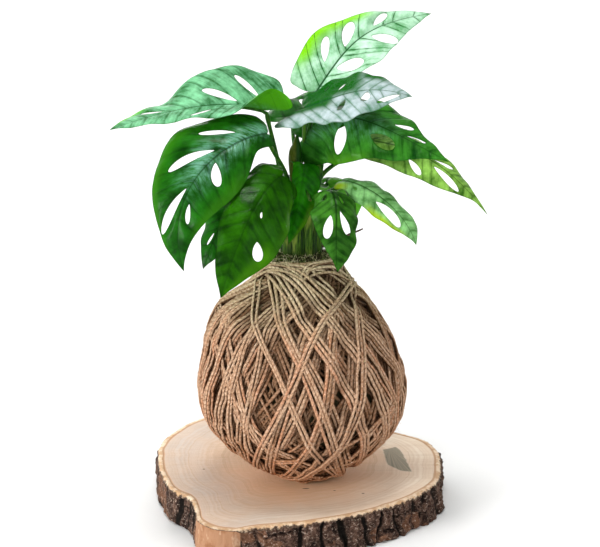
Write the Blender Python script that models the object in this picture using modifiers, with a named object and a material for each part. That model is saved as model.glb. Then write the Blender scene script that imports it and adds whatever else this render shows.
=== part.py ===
"""Kokedama house plant on a slice of log: a Swiss cheese vine in a moss ball wound with jute twine.

Frame: +Z up, the origin under the ball's axis on the slice's underside, -Y towards the front.
Lengths in the tables are millimetres and angles are degrees; MM turns a length into metres.
"""

import math

import bmesh
import bpy
from mathutils import Vector, geometry

MM = 0.001
GAP = 0.3  # between pieces that touch

# Log slice
SLICE_THICKNESS = 26.0
SLICE_CENTRE = (-2.0, 18.0)
SLICE_POINTS = 72
SLICE_FLARE = 1.02  # underside outline over top outline
BARK_RIPPLE = 0.9
# (angle from +X, radius) round the slice's centre
SLICE_OUTLINE = [
    (0, 110), (14, 115), (26, 115), (42, 106), (60, 104), (80, 110), (100, 120), (118, 130),
    (131, 134), (146, 128), (161, 121), (171, 115), (181, 110), (194, 107), (205, 106), (215, 102),
    (222, 104), (229, 112), (235, 122), (242, 126), (248, 123), (252, 116), (260, 108), (270, 103),
    (282, 99), (295, 97), (310, 98), (326, 102), (340, 108), (350, 109),
]

# Wound ball: (radius, height above the slice) from the mouth's rim down the outside of the twine
BALL_PROFILE = [
    (22, 169), (28, 165), (36, 153), (48, 141), (58, 129), (67, 114), (74, 95.5),
    (78.5, 75), (75.5, 53), (64.5, 35), (50, 19.5), (36, 8.5), (23, 2.5), (14, 0),
]
BALL_STEPS = 28
TWINE_DEPTH = 6.5
MOSS_DEPTH = 4.0
# (radius, height above the slice) where each layer turns over at the mouth
TWINE_LIP = [(19.5, 164.5)]
MOSS_LIP = [(16.5, 156.5), (15.5, 158.5), (16.2, 161.0), (18.5, 161.8)]
SOIL_CROWN = [(0.0, 159.0), (15.2, 159.0), (15.2, 158.4), (16.2, 156.2)]
SHOULDER_LEAN = 7.0  # how far the ball's shoulder stands out to the left
SHOULDER_HEIGHT = 132.0
SHOULDER_SPREAD = (30.0, 13.0)  # below and above

# Stems: (foot x, y), (top x, y, z), all inside the mouth
STEM_FOOT_RADIUS = 3.1
STEM_TOP_RADIUS = 3.9
STEM_POINTS = 5
STEMS = {
    "stem_left": ((-10.5, -4.5), (-13.0, -6.0, 236)),
    "stem_front_left": ((-4.0, -9.5), (-5.0, -11.5, 240)),
    "stem_front_right": ((3.6, -8.8), (4.0, -10.0, 239)),
    "stem_right": ((9.8, -3.2), (12.0, -4.0, 236)),
    "stem_back_right": ((5.5, 5.5), (7.5, 8.0, 243)),
    "stem_back_left": ((-4.5, 4.5), (-5.0, 6.5, 245)),
}
STALK_FOOT_RADIUS = 1.45
STALK_HEAD_RADIUS = 1.1
STALK_FOOT_LIFT = 0.75  # keeps a splayed stalk's foot clear of the stem's top
STALK_SPREAD = 2.15  # from the stem's axis to each stalk that it carries
STALK_POINTS = 8
STALK_SPLAY = 0.25  # how far a stalk leans out as it leaves its stem
STALK_RISE, STALK_ARRIVAL = 0.4, 0.3  # shares of its span over which it keeps its first and last directions

BLADE_THICKNESS = 0.8
OUTLINE_POINTS = 13  # on each half of a blade
HOLE_POINTS = 7
SHEET_SPACING = 15.0  # between the points inside a blade

# A half blade's outline: the lobe behind the stalk as (share of the lobe's length, share of the first
# width), then one width at each station, then the drip tip as (share of the length, share of the last width)
LOBE = [(0.0, 0.0), (-0.45, 0.12), (-0.95, 0.34), (-1.0, 0.58), (-0.5, 0.86)]
WIDTH_STATIONS = (0.12, 0.3, 0.5, 0.7, 0.86)
TIP = [(0.95, 0.32), (1.0, 0.0)]
FOLD_STATIONS = (0.0, 0.3, 0.65, 1.0)  # shares of the length where a fold angle is given
LEFT, RIGHT = 1, -1

# Each leaf: the stem and the seat (angle round the stem's top) that its stalk grows from; how far the
# stalk's head is nudged into the fold of the blade that it carries; four points that the midrib passes
# through, base to tip; the widths of its left and right halves at WIDTH_STATIONS, as seen from above with
# the tip ahead; roll at base and tip; the fold of each half at FOLD_STATIONS; the curl of each margin; the
# length of each lobe; and its holes as (side, inner end, outer end, half height), an end being (share of
# the blade's length, distance out from the midrib).
LEAVES = {
    "leaf_upper_left": dict(
        stem="stem_left", seat=110, nudge=0.8,
        midrib=[(-26, -2, 300), (-61, -12, 304), (-96, -24, 299), (-130, -36, 289)],
        left=(24, 28, 22, 14, 8), right=(37, 33, 26, 20, 12), lobe=(15, 12),
        roll=(-22, -22), fold_left=(60, 8, 4, 0), fold_right=(30, 30, -6, -4), curl=(6, -10),
        holes=[(RIGHT, (0.04, 10), (0.18, 27), 2.2), (RIGHT, (0.18, 4), (0.38, 15), 3.0),
               (RIGHT, (0.62, 3), (0.78, 10), 2.0), (LEFT, (0.36, 7), (0.52, 14), 2.0)],
    ),
    "leaf_left_hanging": dict(
        stem="stem_left", seat=350, nudge=0.3,
        midrib=[(-24, -30, 286), (-53, -52, 276), (-77, -68, 247), (-78, -75, 200)],
        left=(11, 25, 27, 19, 8), right=(27, 38, 35, 21, 10), lobe=(2, 6),
        roll=(-44, -34), fold_left=(-6, -4, -4, 0), fold_right=(-4, -6, -8, 0), curl=(-16, -20),
        holes=[(RIGHT, (0.16, 9), (0.30, 25), 2.5), (RIGHT, (0.32, 5), (0.53, 22), 3.5),
               (RIGHT, (0.57, 2), (0.81, 12), 3.5), (LEFT, (0.37, 3), (0.47, 15), 3.5),
               (LEFT, (0.64, 4), (0.75, 6), 2.0)],
    ),
    "leaf_front_centre": dict(
        stem="stem_front_left", seat=270, nudge=0,
        midrib=[(-14, -36, 258), (-26, -60, 249), (-39, -80, 226), (-53, -92, 186)],
        left=(20, 27, 28, 23, 11), right=(18, 20, 19, 14, 8), lobe=(8, 12),
        roll=(-48, -44), fold_left=(-8, -6, 0, 0), fold_right=(-10, -16, -16, -8), curl=(-10, -22),
        holes=[(LEFT, (0.38, 5), (0.43, 7), 1.0), (LEFT, (0.59, 11), (0.71, 16), 3.5)],
    ),
    "leaf_low_left": dict(
        stem="stem_left", seat=230, nudge=0,
        midrib=[(-29, -16, 246), (-43, -30, 243), (-56, -43, 225), (-68, -50, 196)],
        left=(18, 20, 18, 13, 7), right=(18, 20, 18, 13, 7), lobe=(8, 8),
        roll=(-30, -20), fold_left=(0, -4, -4, 0), fold_right=(0, -6, -8, 0), curl=(-8, -14),
        holes=[(RIGHT, (0.30, 4), (0.42, 13), 2.5), (RIGHT, (0.67, 2), (0.79, 4), 1.5)],
    ),
    "leaf_centre_hanging": dict(
        stem="stem_front_right", seat=250, nudge=0,
        midrib=[(0, -16, 264), (0, -25, 255), (-4, -35, 234), (-10, -40, 211)],
        left=(12, 13, 12, 9, 4), right=(8, 9, 8, 6, 3), lobe=(4, 3),
        roll=(-16, -10), fold_left=(0, -20, -26, -8), fold_right=(0, -16, -16, -8), curl=(-16, -12),
        holes=[(LEFT, (0.34, 3), (0.46, 9), 1.8)],
    ),
    "leaf_upper_right": dict(
        stem="stem_back_right", seat=210, nudge=0.4,
        midrib=[(2, -8, 302), (23, -18, 310), (45, -28, 315), (73, -36, 311)],
        left=(29, 28, 25, 15, 7), right=(22, 29, 30, 23, 12), lobe=(6, 22),
        roll=(26, 28), fold_left=(4, 6, 4, 0), fold_right=(-2, -4, -4, 0), curl=(-6, -8),
        holes=[(LEFT, (0.14, 16), (0.17, 21), 1.2), (LEFT, (0.30, 10), (0.34, 17), 2.0),
               (RIGHT, (0.41, 6), (0.38, 18), 3.2), (RIGHT, (0.61, 2), (0.61, 12), 4.2),
               (RIGHT, (0.90, 2), (0.73, 13), 3.0)],
    ),
    "leaf_mid_right": dict(
        stem="stem_front_right", seat=20, nudge=-0.2,
        midrib=[(11, -2, 292), (38, -16, 295), (67, -30, 284), (98, -40, 268)],
        left=(28, 31, 28, 17, 9), right=(34, 33, 25, 17, 7), lobe=(8, 12),
        roll=(28, 26), fold_left=(-4, -2, -2, 0), fold_right=(-34, -36, -26, -4), curl=(-8, -14),
        holes=[(RIGHT, (0.20, 5), (0.20, 27), 8.0), (RIGHT, (0.44, 8), (0.64, 10), 6.0),
               (LEFT, (0.54, 9), (0.67, 14), 2.5), (LEFT, (0.66, 4), (0.80, 7), 2.0)],
    ),
    "leaf_far_right": dict(
        stem="stem_back_right", seat=330, nudge=0,
        midrib=[(45, 12, 278), (69, 4, 274), (97, -8, 261), (129, -22, 229)],
        left=(18, 18, 15, 10, 3), right=(16, 18, 17, 12, 3), lobe=(8, 8),
        roll=(26, 20), fold_left=(-4, -4, -4, 0), fold_right=(-22, -26, -22, -6), curl=(-8, -12),
        holes=[(RIGHT, (0.34, 7), (0.48, 14), 2.0), (RIGHT, (0.52, 3), (0.74, 6), 2.5),
               (LEFT, (0.48, 3), (0.60, 8), 2.0)],
    ),
    "leaf_low_right": dict(
        stem="stem_right", seat=20, nudge=0,
        midrib=[(28, -16, 252), (43, -30, 249), (62, -42, 236), (77, -46, 212)],
        left=(8, 13, 10, 9, 8), right=(9, 14, 14, 10, 3), lobe=(5, 5),
        roll=(22, 22), fold_left=(-6, -6, -4, 0), fold_right=(-8, -8, -8, 0), curl=(-10, -10),
        holes=[(RIGHT, (0.48, 5), (0.74, 6), 4.0), (RIGHT, (0.16, 3), (0.22, 5), 1.2)],
    ),
    "leaf_front_right": dict(
        stem="stem_right", seat=280, nudge=0,
        midrib=[(18, -38, 248), (22, -52, 240), (22, -62, 221), (23, -64, 197)],
        left=(15, 17, 16, 15, 9), right=(14, 18, 15, 9, 3), lobe=(8, 8),
        roll=(0, 0), fold_left=(-12, -14, -10, 0), fold_right=(-14, -16, -10, 0), curl=(-12, -12),
        holes=[(RIGHT, (0.40, 4), (0.63, 6), 3.2), (LEFT, (0.34, 3), (0.58, 10), 2.8),
               (RIGHT, (0.04, 4), (0.14, 8), 1.5), (LEFT, (0.10, 4), (0.22, 6), 1.5)],
    ),
    "leaf_top_right": dict(
        stem="stem_back_left", seat=60, nudge=0.4,
        midrib=[(10, 16, 312), (31, 26, 340), (55, 36, 357), (94, 44, 367)],
        left=(26, 28, 20, 12, 6), right=(16, 29, 30, 20, 9), lobe=(4, 4),
        roll=(50, 50), fold_left=(0, 0, 0, 0), fold_right=(14, 18, 14, 0), curl=(8, 10),
        holes=[(LEFT, (0.20, 8), (0.33, 18), 3.5), (LEFT, (0.36, 3), (0.50, 14), 4.0),
               (LEFT, (0.60, 3), (0.72, 9), 3.0), (RIGHT, (0.20, 3), (0.31, 18), 5.5),
               (RIGHT, (0.55, 4), (0.65, 20), 5.5)],
    ),
    "leaf_back_left": dict(
        stem="stem_back_left", seat=180, nudge=-0.35,
        midrib=[(-16, 26, 248), (-32, 48, 250), (-50, 74, 238), (-66, 96, 212)],
        left=(23, 24, 21, 14, 7), right=(23, 24, 21, 14, 7), lobe=(12, 12),
        roll=(0, 0), fold_left=(-6, -8, -6, 0), fold_right=(-6, -8, -6, 0), curl=(-14, -14),
        holes=[(LEFT, (0.18, 5), (0.28, 17), 2.5), (LEFT, (0.38, 4), (0.52, 16), 2.8),
               (RIGHT, (0.22, 5), (0.34, 17), 2.5), (RIGHT, (0.46, 4), (0.60, 14), 2.5)],
    ),
    "leaf_back_right": dict(
        stem="stem_back_right", seat=90, nudge=0,
        midrib=[(18, 30, 246), (26, 50, 245), (36, 76, 230), (42, 98, 202)],
        left=(18, 19, 17, 11, 5), right=(18, 19, 17, 11, 5), lobe=(9, 9),
        roll=(0, 0), fold_left=(-6, -10, -8, 0), fold_right=(-6, -10, -8, 0), curl=(-14, -14),
        holes=[(LEFT, (0.20, 4), (0.32, 13), 2.2), (RIGHT, (0.24, 4), (0.36, 13), 2.2),
               (RIGHT, (0.50, 3), (0.62, 10), 2.0)],
    ),
    "leaf_back_upper": dict(
        stem="stem_back_left", seat=300, nudge=0,
        midrib=[(-6, 40, 292), (18, 64, 302), (44, 90, 302), (68, 114, 290)],
        left=(27, 28, 25, 16, 8), right=(27, 28, 25, 16, 8), lobe=(13, 13),
        roll=(0, 4), fold_left=(-4, -6, -4, 0), fold_right=(-4, -6, -4, 0), curl=(-12, -12),
        holes=[(LEFT, (0.16, 5), (0.26, 20), 2.8), (LEFT, (0.36, 4), (0.50, 19), 3.0),
               (LEFT, (0.58, 3), (0.72, 12), 2.2), (RIGHT, (0.20, 5), (0.32, 20), 2.8),
               (RIGHT, (0.44, 4), (0.58, 16), 2.8)],
    ),
}

# Young leaf still rolled in its sheath, and the brown aerial root
ROLLED_LEAF = [(-5.0, -9.2, 240.9), (-5.5, -8.6, 256), (-5.0, -8.4, 270), (-4.0, -8.4, 283)]
ROLLED_LEAF_RADII = [1.4, 2.6, 2.9, 0.5]
AERIAL_ROOT = [(14.5, -4.0, 203), (24.0, -8.0, 207), (33.0, -8.0, 212), (43.0, -5.0, 216)]
AERIAL_ROOT_RADII = [0.9, 0.8, 0.7, 0.45]

WOOD = ("wood", (0.66, 0.47, 0.29), 0.7)
TWINE = ("twine", (0.46, 0.32, 0.20), 0.9)
MOSS = ("moss", (0.07, 0.08, 0.03), 0.95)
SOIL = ("soil", (0.05, 0.035, 0.025), 0.95)
STALK = ("stalk", (0.10, 0.20, 0.03), 0.5)
BLADE = ("blade", (0.03, 0.20, 0.03), 0.35)
ROOT = ("aerial_root", (0.12, 0.06, 0.04), 0.8)


def clear_scene():
    for obj in list(bpy.data.objects):
        bpy.data.objects.remove(obj, do_unlink=True)


def make_material(look):
    name, colour, roughness = look
    found = bpy.data.materials.get(name)
    if found:
        return found
    made = bpy.data.materials.new(name)
    made.use_nodes = True
    shader = made.node_tree.nodes["Principled BSDF"]
    shader.inputs["Base Color"].default_value = (*colour, 1.0)
    shader.inputs["Roughness"].default_value = roughness
    return made


def add_object(name, data, collection, look):
    obj = bpy.data.objects.new(name, data)
    obj.data.materials.append(make_material(look))
    collection.objects.link(obj)
    return obj


def bake(obj, collection, look):
    """Replace obj with a plain mesh of its evaluated shape, with loose caps welded."""
    graph = bpy.context.evaluated_depsgraph_get()
    mesh = bpy.data.meshes.new_from_object(obj.evaluated_get(graph))
    name = obj.name
    bpy.data.objects.remove(obj, do_unlink=True)
    mesh.name = name
    mesh.materials.clear()
    shape = bmesh.new()
    shape.from_mesh(mesh)
    bmesh.ops.remove_doubles(shape, verts=shape.verts, dist=0.01 * MM)
    bmesh.ops.recalc_face_normals(shape, faces=shape.faces)
    shape.to_mesh(mesh)
    shape.free()
    return add_object(name, mesh, collection, look)


def spline(points, count, closed=False):
    """count points along the Catmull-Rom curve through points, which may be tuples of any length."""
    size = len(points)
    spans = size if closed else size - 1
    made = []
    for i in range(count):
        at = i * spans / (count if closed else count - 1)
        k = min(int(at), spans - 1)
        t = at - k
        ring = []
        for offset in (-1, 0, 1, 2):
            index = (k + offset) % size if closed else min(max(k + offset, 0), size - 1)
            ring.append(points[index])
        made.append(tuple(
            0.5 * (2 * b + (c - a) * t + (2 * a - 5 * b + 4 * c - d) * t * t
                   + (3 * b - a - 3 * c + d) * t ** 3)
            for a, b, c, d in zip(*ring)
        ))
    return made


def tube(name, points, radii, look, collection, sides_level):
    """A capped tube through points, with its own radius at each."""
    curve = bpy.data.curves.new(name, "CURVE")
    curve.dimensions = "3D"
    curve.bevel_depth = MM
    curve.bevel_resolution = sides_level
    curve.use_fill_caps = True
    line = curve.splines.new("POLY")
    line.points.add(len(points) - 1)
    for point, place, radius in zip(line.points, points, radii):
        point.co = (*(Vector(place) * MM), 1.0)
        point.radius = radius
    return add_object(name, curve, collection, look)


def turned(name, profile, look, collection):
    """A leaning solid of revolution from (radius, height above the slice) points, axis to axis."""
    mesh = bpy.data.meshes.new(name)
    points = [(r * MM, 0.0, (z + SLICE_THICKNESS) * MM) for r, z in profile]
    mesh.from_pydata(points, [(i, i + 1) for i in range(len(points) - 1)], [])
    obj = add_object(name, mesh, collection, look)
    screw = obj.modifiers.new("turn", "SCREW")
    screw.steps = BALL_STEPS
    screw.render_steps = BALL_STEPS
    screw.use_merge_vertices = True
    screw.merge_threshold = 0.01 * MM
    obj = bake(obj, collection, look)
    for vertex in obj.data.vertices:
        vertex.co.x -= lean(vertex.co.z / MM) * MM
    obj.data.shade_smooth()
    return obj


def lean(z):
    """How far the ball's sections stand out to the left at height z."""
    above = z - SLICE_THICKNESS - SHOULDER_HEIGHT
    return SHOULDER_LEAN * math.exp(-((above / SHOULDER_SPREAD[above > 0]) ** 2))


def inset(profile, depth):
    """The profile moved inwards along its normals by depth."""
    made = []
    for i, (r, z) in enumerate(profile):
        before = profile[max(i - 1, 0)]
        after = profile[min(i + 1, len(profile) - 1)]
        along = Vector((after[0] - before[0], after[1] - before[1])).normalized()
        made.append((r + along.y * depth, z - along.x * depth))
    return made


def build_slice(collection):
    outline = []
    turn = SLICE_OUTLINE + [(360, SLICE_OUTLINE[0][1])]
    for angle, radius in spline(turn, SLICE_POINTS + 1)[:-1]:
        around = math.radians(angle)
        ripple = BARK_RIPPLE * (math.sin(17 * around) + math.sin(29 * around + 1.3))
        outline.append(((radius + ripple) * math.cos(around), (radius + ripple) * math.sin(around)))
    curve = bpy.data.curves.new("wood_slice", "CURVE")
    curve.dimensions = "2D"
    curve.fill_mode = "BOTH"
    curve.extrude = SLICE_THICKNESS / 2 * MM
    line = curve.splines.new("POLY")
    line.use_cyclic_u = True
    line.points.add(len(outline) - 1)
    for point, (x, y) in zip(line.points, outline):
        point.co = (x * MM, y * MM, 0.0, 1.0)
    obj = bake(add_object("wood_slice", curve, collection, WOOD), collection, WOOD)
    for vertex in obj.data.vertices:
        if vertex.co.z < 0:
            vertex.co.x *= SLICE_FLARE
            vertex.co.y *= SLICE_FLARE
        vertex.co.x += SLICE_CENTRE[0] * MM
        vertex.co.y += SLICE_CENTRE[1] * MM
        vertex.co.z += SLICE_THICKNESS / 2 * MM
    return obj


def build_ball(collection):
    """Twine round moss round soil, each open at the mouth, all standing on a small flat spot."""
    outer = [(r, z + GAP) for r, z in BALL_PROFILE]
    twine_inner = inset(outer, TWINE_DEPTH)[1:]
    twine = [(0.0, twine_inner[-1][1])] + twine_inner[::-1] + TWINE_LIP + outer + [(0.0, outer[-1][1])]
    turned("twine_winding", twine, TWINE, collection)

    depth = TWINE_DEPTH + GAP
    moss_outer = inset(outer, depth)[1:]
    moss_inner = inset(outer, depth + MOSS_DEPTH)[2:]
    moss = [(0.0, moss_inner[-1][1])] + moss_inner[::-1] + MOSS_LIP + moss_outer
    turned("moss_wrap", moss + [(0.0, moss_outer[-1][1])], MOSS, collection)

    soil = inset(outer, depth + MOSS_DEPTH + GAP)[2:]
    turned("soil_ball", SOIL_CROWN + soil + [(0.0, soil[-1][1])], SOIL, collection)


def build_stems(collection):
    foot_z = SLICE_THICKNESS + SOIL_CROWN[0][1] + GAP
    last = STEM_POINTS - 1
    swelling = STEM_TOP_RADIUS - STEM_FOOT_RADIUS
    radii = [STEM_FOOT_RADIUS + swelling * i / last for i in range(STEM_POINTS)]
    for name, ((x, y), top) in STEMS.items():
        foot = Vector((x, y, foot_z))
        points = [foot.lerp(Vector(top), i / last) for i in range(STEM_POINTS)]
        tube(name, points, radii, STALK, collection, 3)


def bezier(controls, t):
    a, b, c, d = controls
    s = 1 - t
    return a * s ** 3 + b * 3 * s * s * t + c * 3 * s * t * t + d * t ** 3


class Blade:
    """Carries flat blade coordinates (along the midrib, out from it to the left) into space."""

    def __init__(self, leaf):
        self.leaf = leaf
        p0, p1, p2, p3 = (Vector(p) for p in leaf["midrib"])
        self.controls = (p0, (-5 * p0 + 18 * p1 - 9 * p2 + 2 * p3) / 6,
                         (2 * p0 - 9 * p1 + 18 * p2 - 5 * p3) / 6, p3)
        self.samples = [self.at(i / 40) for i in range(41)]
        self.reach = [0.0]
        for a, b in zip(self.samples, self.samples[1:]):
            self.reach.append(self.reach[-1] + (b - a).length)
        self.length = self.reach[-1]
        ahead = p3 - p0
        self.level = Vector((-ahead.y, ahead.x, 0.0)).normalized()

    def at(self, t):
        return bezier(self.controls, t)

    def slope(self, t):
        a, b, c, d = self.controls
        s = 1 - t
        return ((b - a) * s * s + (c - b) * 2 * s * t + (d - c) * t * t).normalized()

    def frame(self, x):
        """Origin, tangent, left and normal at distance x along the midrib."""
        inside = min(max(x, 0.0), self.length)
        k = 0
        while k < 39 and self.reach[k + 1] < inside:
            k += 1
        t = (k + (inside - self.reach[k]) / (self.reach[k + 1] - self.reach[k])) / 40
        tangent = self.slope(t)
        origin = self.at(t) + tangent * (x - inside)
        normal = tangent.cross(self.level).normalized()
        left = normal.cross(tangent)
        low, high = self.leaf["roll"]
        roll = math.radians(low + (high - low) * t)
        return (origin, tangent, left * math.cos(roll) + normal * math.sin(roll),
                normal * math.cos(roll) - left * math.sin(roll))

    def fold(self, side, share):
        angles = self.leaf["fold_left" if side == LEFT else "fold_right"]
        share = min(max(share, 0.0), 1.0)
        k = 0
        while k < len(FOLD_STATIONS) - 2 and FOLD_STATIONS[k + 1] < share:
            k += 1
        t = (share - FOLD_STATIONS[k]) / (FOLD_STATIONS[k + 1] - FOLD_STATIONS[k])
        t = t * t * (3 - 2 * t)
        return math.radians(angles[k] + (angles[k + 1] - angles[k]) * t)

    def place(self, x, y):
        side = LEFT if y >= 0 else RIGHT
        origin, _, left, normal = self.frame(x)
        fold = self.fold(side, x / self.length)
        curl = self.leaf["curl"][0 if side == LEFT else 1]
        bend = math.radians(curl) / max(self.widths(side)) or 1e-6
        out = abs(y)
        lateral = (math.sin(fold + bend * out) - math.sin(fold)) / bend
        lift = (math.cos(fold) - math.cos(fold + bend * out)) / bend
        return origin + left * (side * lateral) + normal * lift

    def widths(self, side):
        return self.leaf["left" if side == LEFT else "right"]

    def outline(self, count):
        """The flat outline: from the tip down the left half to the stalk, and back along the right."""
        halves = []
        for side in (LEFT, RIGHT):
            widths = self.widths(side)
            lobe = self.leaf["lobe"][0 if side == LEFT else 1]
            shape = [(along * lobe, out * widths[0]) for along, out in LOBE]
            shape += [(share * self.length, width) for share, width in zip(WIDTH_STATIONS, widths)]
            shape += [(share * self.length, out * widths[-1]) for share, out in TIP]
            halves.append([(along, side * out) for along, out in spline(shape, count)])
        return halves[0][::-1] + halves[1][1:-1]

    def hole(self, spec, count):
        """A hole's flat outline: a spindle, blunter at its outer end."""
        side, (x0, y0), (x1, y1), half_height = spec
        inner, outer = Vector((x0 * self.length, y0)), Vector((x1 * self.length, y1))
        middle, axis = (inner + outer) / 2, (outer - inner) / 2
        across = Vector((axis.y, -axis.x)).normalized() * half_height
        points = []
        for i in range(count):
            around = 2 * math.pi * i / count
            swell = math.sin(around) * (1 + 0.25 * math.cos(around))
            at = middle + axis * math.cos(around) + across * swell
            points.append((at.x, side * at.y))
        return points if side == RIGHT else points[::-1]


def inside(point, loop):
    x, y = point
    odd = False
    for (ax, ay), (bx, by) in zip(loop, loop[1:] + loop[:1]):
        if (ay > y) != (by > y) and x < ax + (y - ay) / (by - ay) * (bx - ax):
            odd = not odd
    return odd


def clear_of(point, loop, distance):
    """Whether point is at least distance from every corner and edge middle of loop."""
    for (ax, ay), (bx, by) in zip(loop, loop[1:] + loop[:1]):
        for sx, sy in ((ax, ay), ((ax + bx) / 2, (ay + by) / 2)):
            if math.hypot(point[0] - sx, point[1] - sy) < distance:
                return False
    return True


def blade_mesh(name, blade, outline_count, hole_count, spacing):
    """The blade as one open sheet: its outline, holes and midrib triangulated flat, then bent into place."""
    outline = blade.outline(outline_count)
    loops = [outline] + [blade.hole(spec, hole_count) for spec in blade.leaf["holes"]]
    points, edges = [], []
    for loop in loops:
        first = len(points)
        points += loop
        edges += [(first + i, first + (i + 1) % len(loop)) for i in range(len(loop))]
    tip, sinus = 0, outline_count - 1
    steps = max(4, round(blade.length / spacing))
    rib = [(blade.length * i / steps, 0.0) for i in range(1, steps)]
    chain = [sinus] + [len(points) + i for i in range(len(rib))] + [tip]
    points += rib
    edges += list(zip(chain, chain[1:]))
    rows = int(max(blade.leaf["left"] + blade.leaf["right"]) / (spacing * 0.87)) + 1
    for row in range(-rows, rows + 1):
        if row == 0:
            continue
        for step in range(-3, steps + 1):
            at = ((step + 0.5 * (row % 2)) * spacing, row * spacing * 0.87)
            if inside(at, outline) and all(clear_of(at, loop, spacing * 0.55) for loop in loops):
                if not any(inside(at, loop) for loop in loops[1:]):
                    points.append(at)
    flat = geometry.delaunay_2d_cdt([Vector(p) for p in points], edges, [], 0, 1e-5)
    corners, faces = flat[0], flat[2]
    kept = []
    for face in faces:
        centre = sum((corners[i] for i in face), Vector((0.0, 0.0))) / len(face)
        if inside(centre, outline) and not any(inside(centre, loop) for loop in loops[1:]):
            kept.append(face)
    used = sorted({i for face in kept for i in face})
    renumber = {old: new for new, old in enumerate(used)}
    mesh = bpy.data.meshes.new(name)
    placed = [blade.place(*corners[i]) * MM for i in used]
    mesh.from_pydata(placed, [], [[renumber[i] for i in face] for face in kept])
    return mesh


def build_blade(name, blade, collection):
    sheet = blade_mesh(name, blade, OUTLINE_POINTS, HOLE_POINTS, SHEET_SPACING)
    obj = add_object(name, sheet, collection, BLADE)
    solid = obj.modifiers.new("thickness", "SOLIDIFY")
    solid.thickness = BLADE_THICKNESS * MM
    solid.offset = 0.0
    obj.data.shade_smooth()


def build_stalk(name, leaf, blade, collection):
    """The stalk: up out of its stem's top, then over into the fold at the blade's base."""
    seat = math.radians(leaf["seat"])
    out = Vector((math.cos(seat), math.sin(seat), 0.0))
    up = Vector((0.0, 0.0, 1.0))
    foot = Vector(STEMS[leaf["stem"]][1]) + out * STALK_SPREAD + up * STALK_FOOT_LIFT
    base, tangent, _, normal = blade.frame(0.0)
    sink = BLADE_THICKNESS / 2 + GAP + STALK_HEAD_RADIUS - leaf["nudge"]
    head = base - normal * sink - tangent * 0.5
    span = (head - foot).length
    leave = (up + out * STALK_SPLAY).normalized()
    arrive = (tangent * 0.4 + normal * 0.5 + up * 0.5).normalized()
    controls = (foot, foot + leave * span * STALK_RISE, head - arrive * span * STALK_ARRIVAL, head)
    last = STALK_POINTS - 1
    points = [bezier(controls, i / last) for i in range(STALK_POINTS)]
    slimming = STALK_HEAD_RADIUS - STALK_FOOT_RADIUS
    radii = [STALK_FOOT_RADIUS + slimming * i / last for i in range(STALK_POINTS)]
    tube(name, points, radii, STALK, collection, 1)


def build_strand(name, route, radii, look, collection):
    """A thin round piece along a smooth curve through route, its radius eased through radii."""
    count = len(route) + 2
    eased = [radius for (radius,) in spline([(radius,) for radius in radii], count)]
    tube(name, spline(route, count), eased, look, collection, 1)


def main():
    clear_scene()
    collection = bpy.data.collections.new("kokedama_plant")
    bpy.context.scene.collection.children.link(collection)
    build_slice(collection)
    build_ball(collection)
    build_stems(collection)
    for name, leaf in LEAVES.items():
        blade = Blade(leaf)
        build_blade(name + "_blade", blade, collection)
        build_stalk(name + "_stalk", leaf, blade, collection)
    build_strand("rolled_young_leaf", ROLLED_LEAF, ROLLED_LEAF_RADII, STALK, collection)
    build_strand("aerial_root", AERIAL_ROOT, AERIAL_ROOT_RADII, ROOT, collection)


main()
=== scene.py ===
"""Looks of the kokedama house plant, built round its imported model.

+Z is up, the origin is under the ball's axis on the slice's underside, and -Y faces the front.
Lengths are millimetres and angles are degrees unless a comment says otherwise.
"""

import math

import bpy
import numpy as np
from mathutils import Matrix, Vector, geometry


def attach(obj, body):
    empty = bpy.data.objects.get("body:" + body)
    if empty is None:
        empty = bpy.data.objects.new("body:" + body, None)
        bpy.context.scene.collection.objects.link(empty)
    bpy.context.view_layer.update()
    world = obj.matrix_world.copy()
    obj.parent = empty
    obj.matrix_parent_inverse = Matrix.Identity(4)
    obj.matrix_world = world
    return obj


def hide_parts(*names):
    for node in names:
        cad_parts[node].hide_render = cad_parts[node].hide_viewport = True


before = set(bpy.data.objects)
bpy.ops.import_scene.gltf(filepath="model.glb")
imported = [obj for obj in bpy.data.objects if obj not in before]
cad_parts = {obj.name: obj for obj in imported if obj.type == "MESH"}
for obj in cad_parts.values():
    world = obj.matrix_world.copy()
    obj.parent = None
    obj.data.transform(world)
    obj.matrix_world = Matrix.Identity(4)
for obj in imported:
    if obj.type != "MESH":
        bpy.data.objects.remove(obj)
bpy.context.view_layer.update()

MM = 0.001  # in metres
FULL_TURN = 2 * math.pi
UP = np.array([0, 0, 1])
join = np.concatenate


# ---- numbers that the looks share with the solids ----

SLICE_THICKNESS = 26
SLICE_CENTRE = (-2, 18)
SLICE_FLARE = 1.02
# (angle from +X, radius) round the slice's centre
SLICE_OUTLINE = [
    (0, 110), (14, 115), (26, 115), (42, 106), (60, 104), (80, 110), (100, 120), (118, 130),
    (131, 134), (146, 128), (161, 121), (171, 115), (181, 110), (194, 107), (205, 106), (215, 102),
    (222, 104), (229, 112), (235, 122), (242, 126), (248, 123), (252, 116), (260, 108), (270, 103),
    (282, 99), (295, 97), (310, 98), (326, 102), (340, 108), (350, 109),
]

# Wound ball: (radius, height above its foot) from the mouth's rim down the outside of the twine
BALL_PROFILE = [
    (22, 169), (28, 165), (36, 153), (48, 141), (58, 129), (67, 114), (74, 95.5),
    (78.5, 75), (75.5, 53), (64.5, 35), (50, 19.5), (36, 8.5), (23, 2.5), (14, 0),
]
BALL_FOOT = SLICE_THICKNESS + 0.3
SHOULDER_LEAN = 5.5
SHOULDER_HEIGHT = 132
SHOULDER_SPREAD = (30, 13)  # below and above the shoulder
SHOULDER_SWELL = 3  # how much fuller the twine is there than the solid's smooth outside
FOOT_LEAN = 6  # how far the twine's underside leans to +X, dying out within FOOT_SPREAD
FOOT_SPREAD = 16

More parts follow.
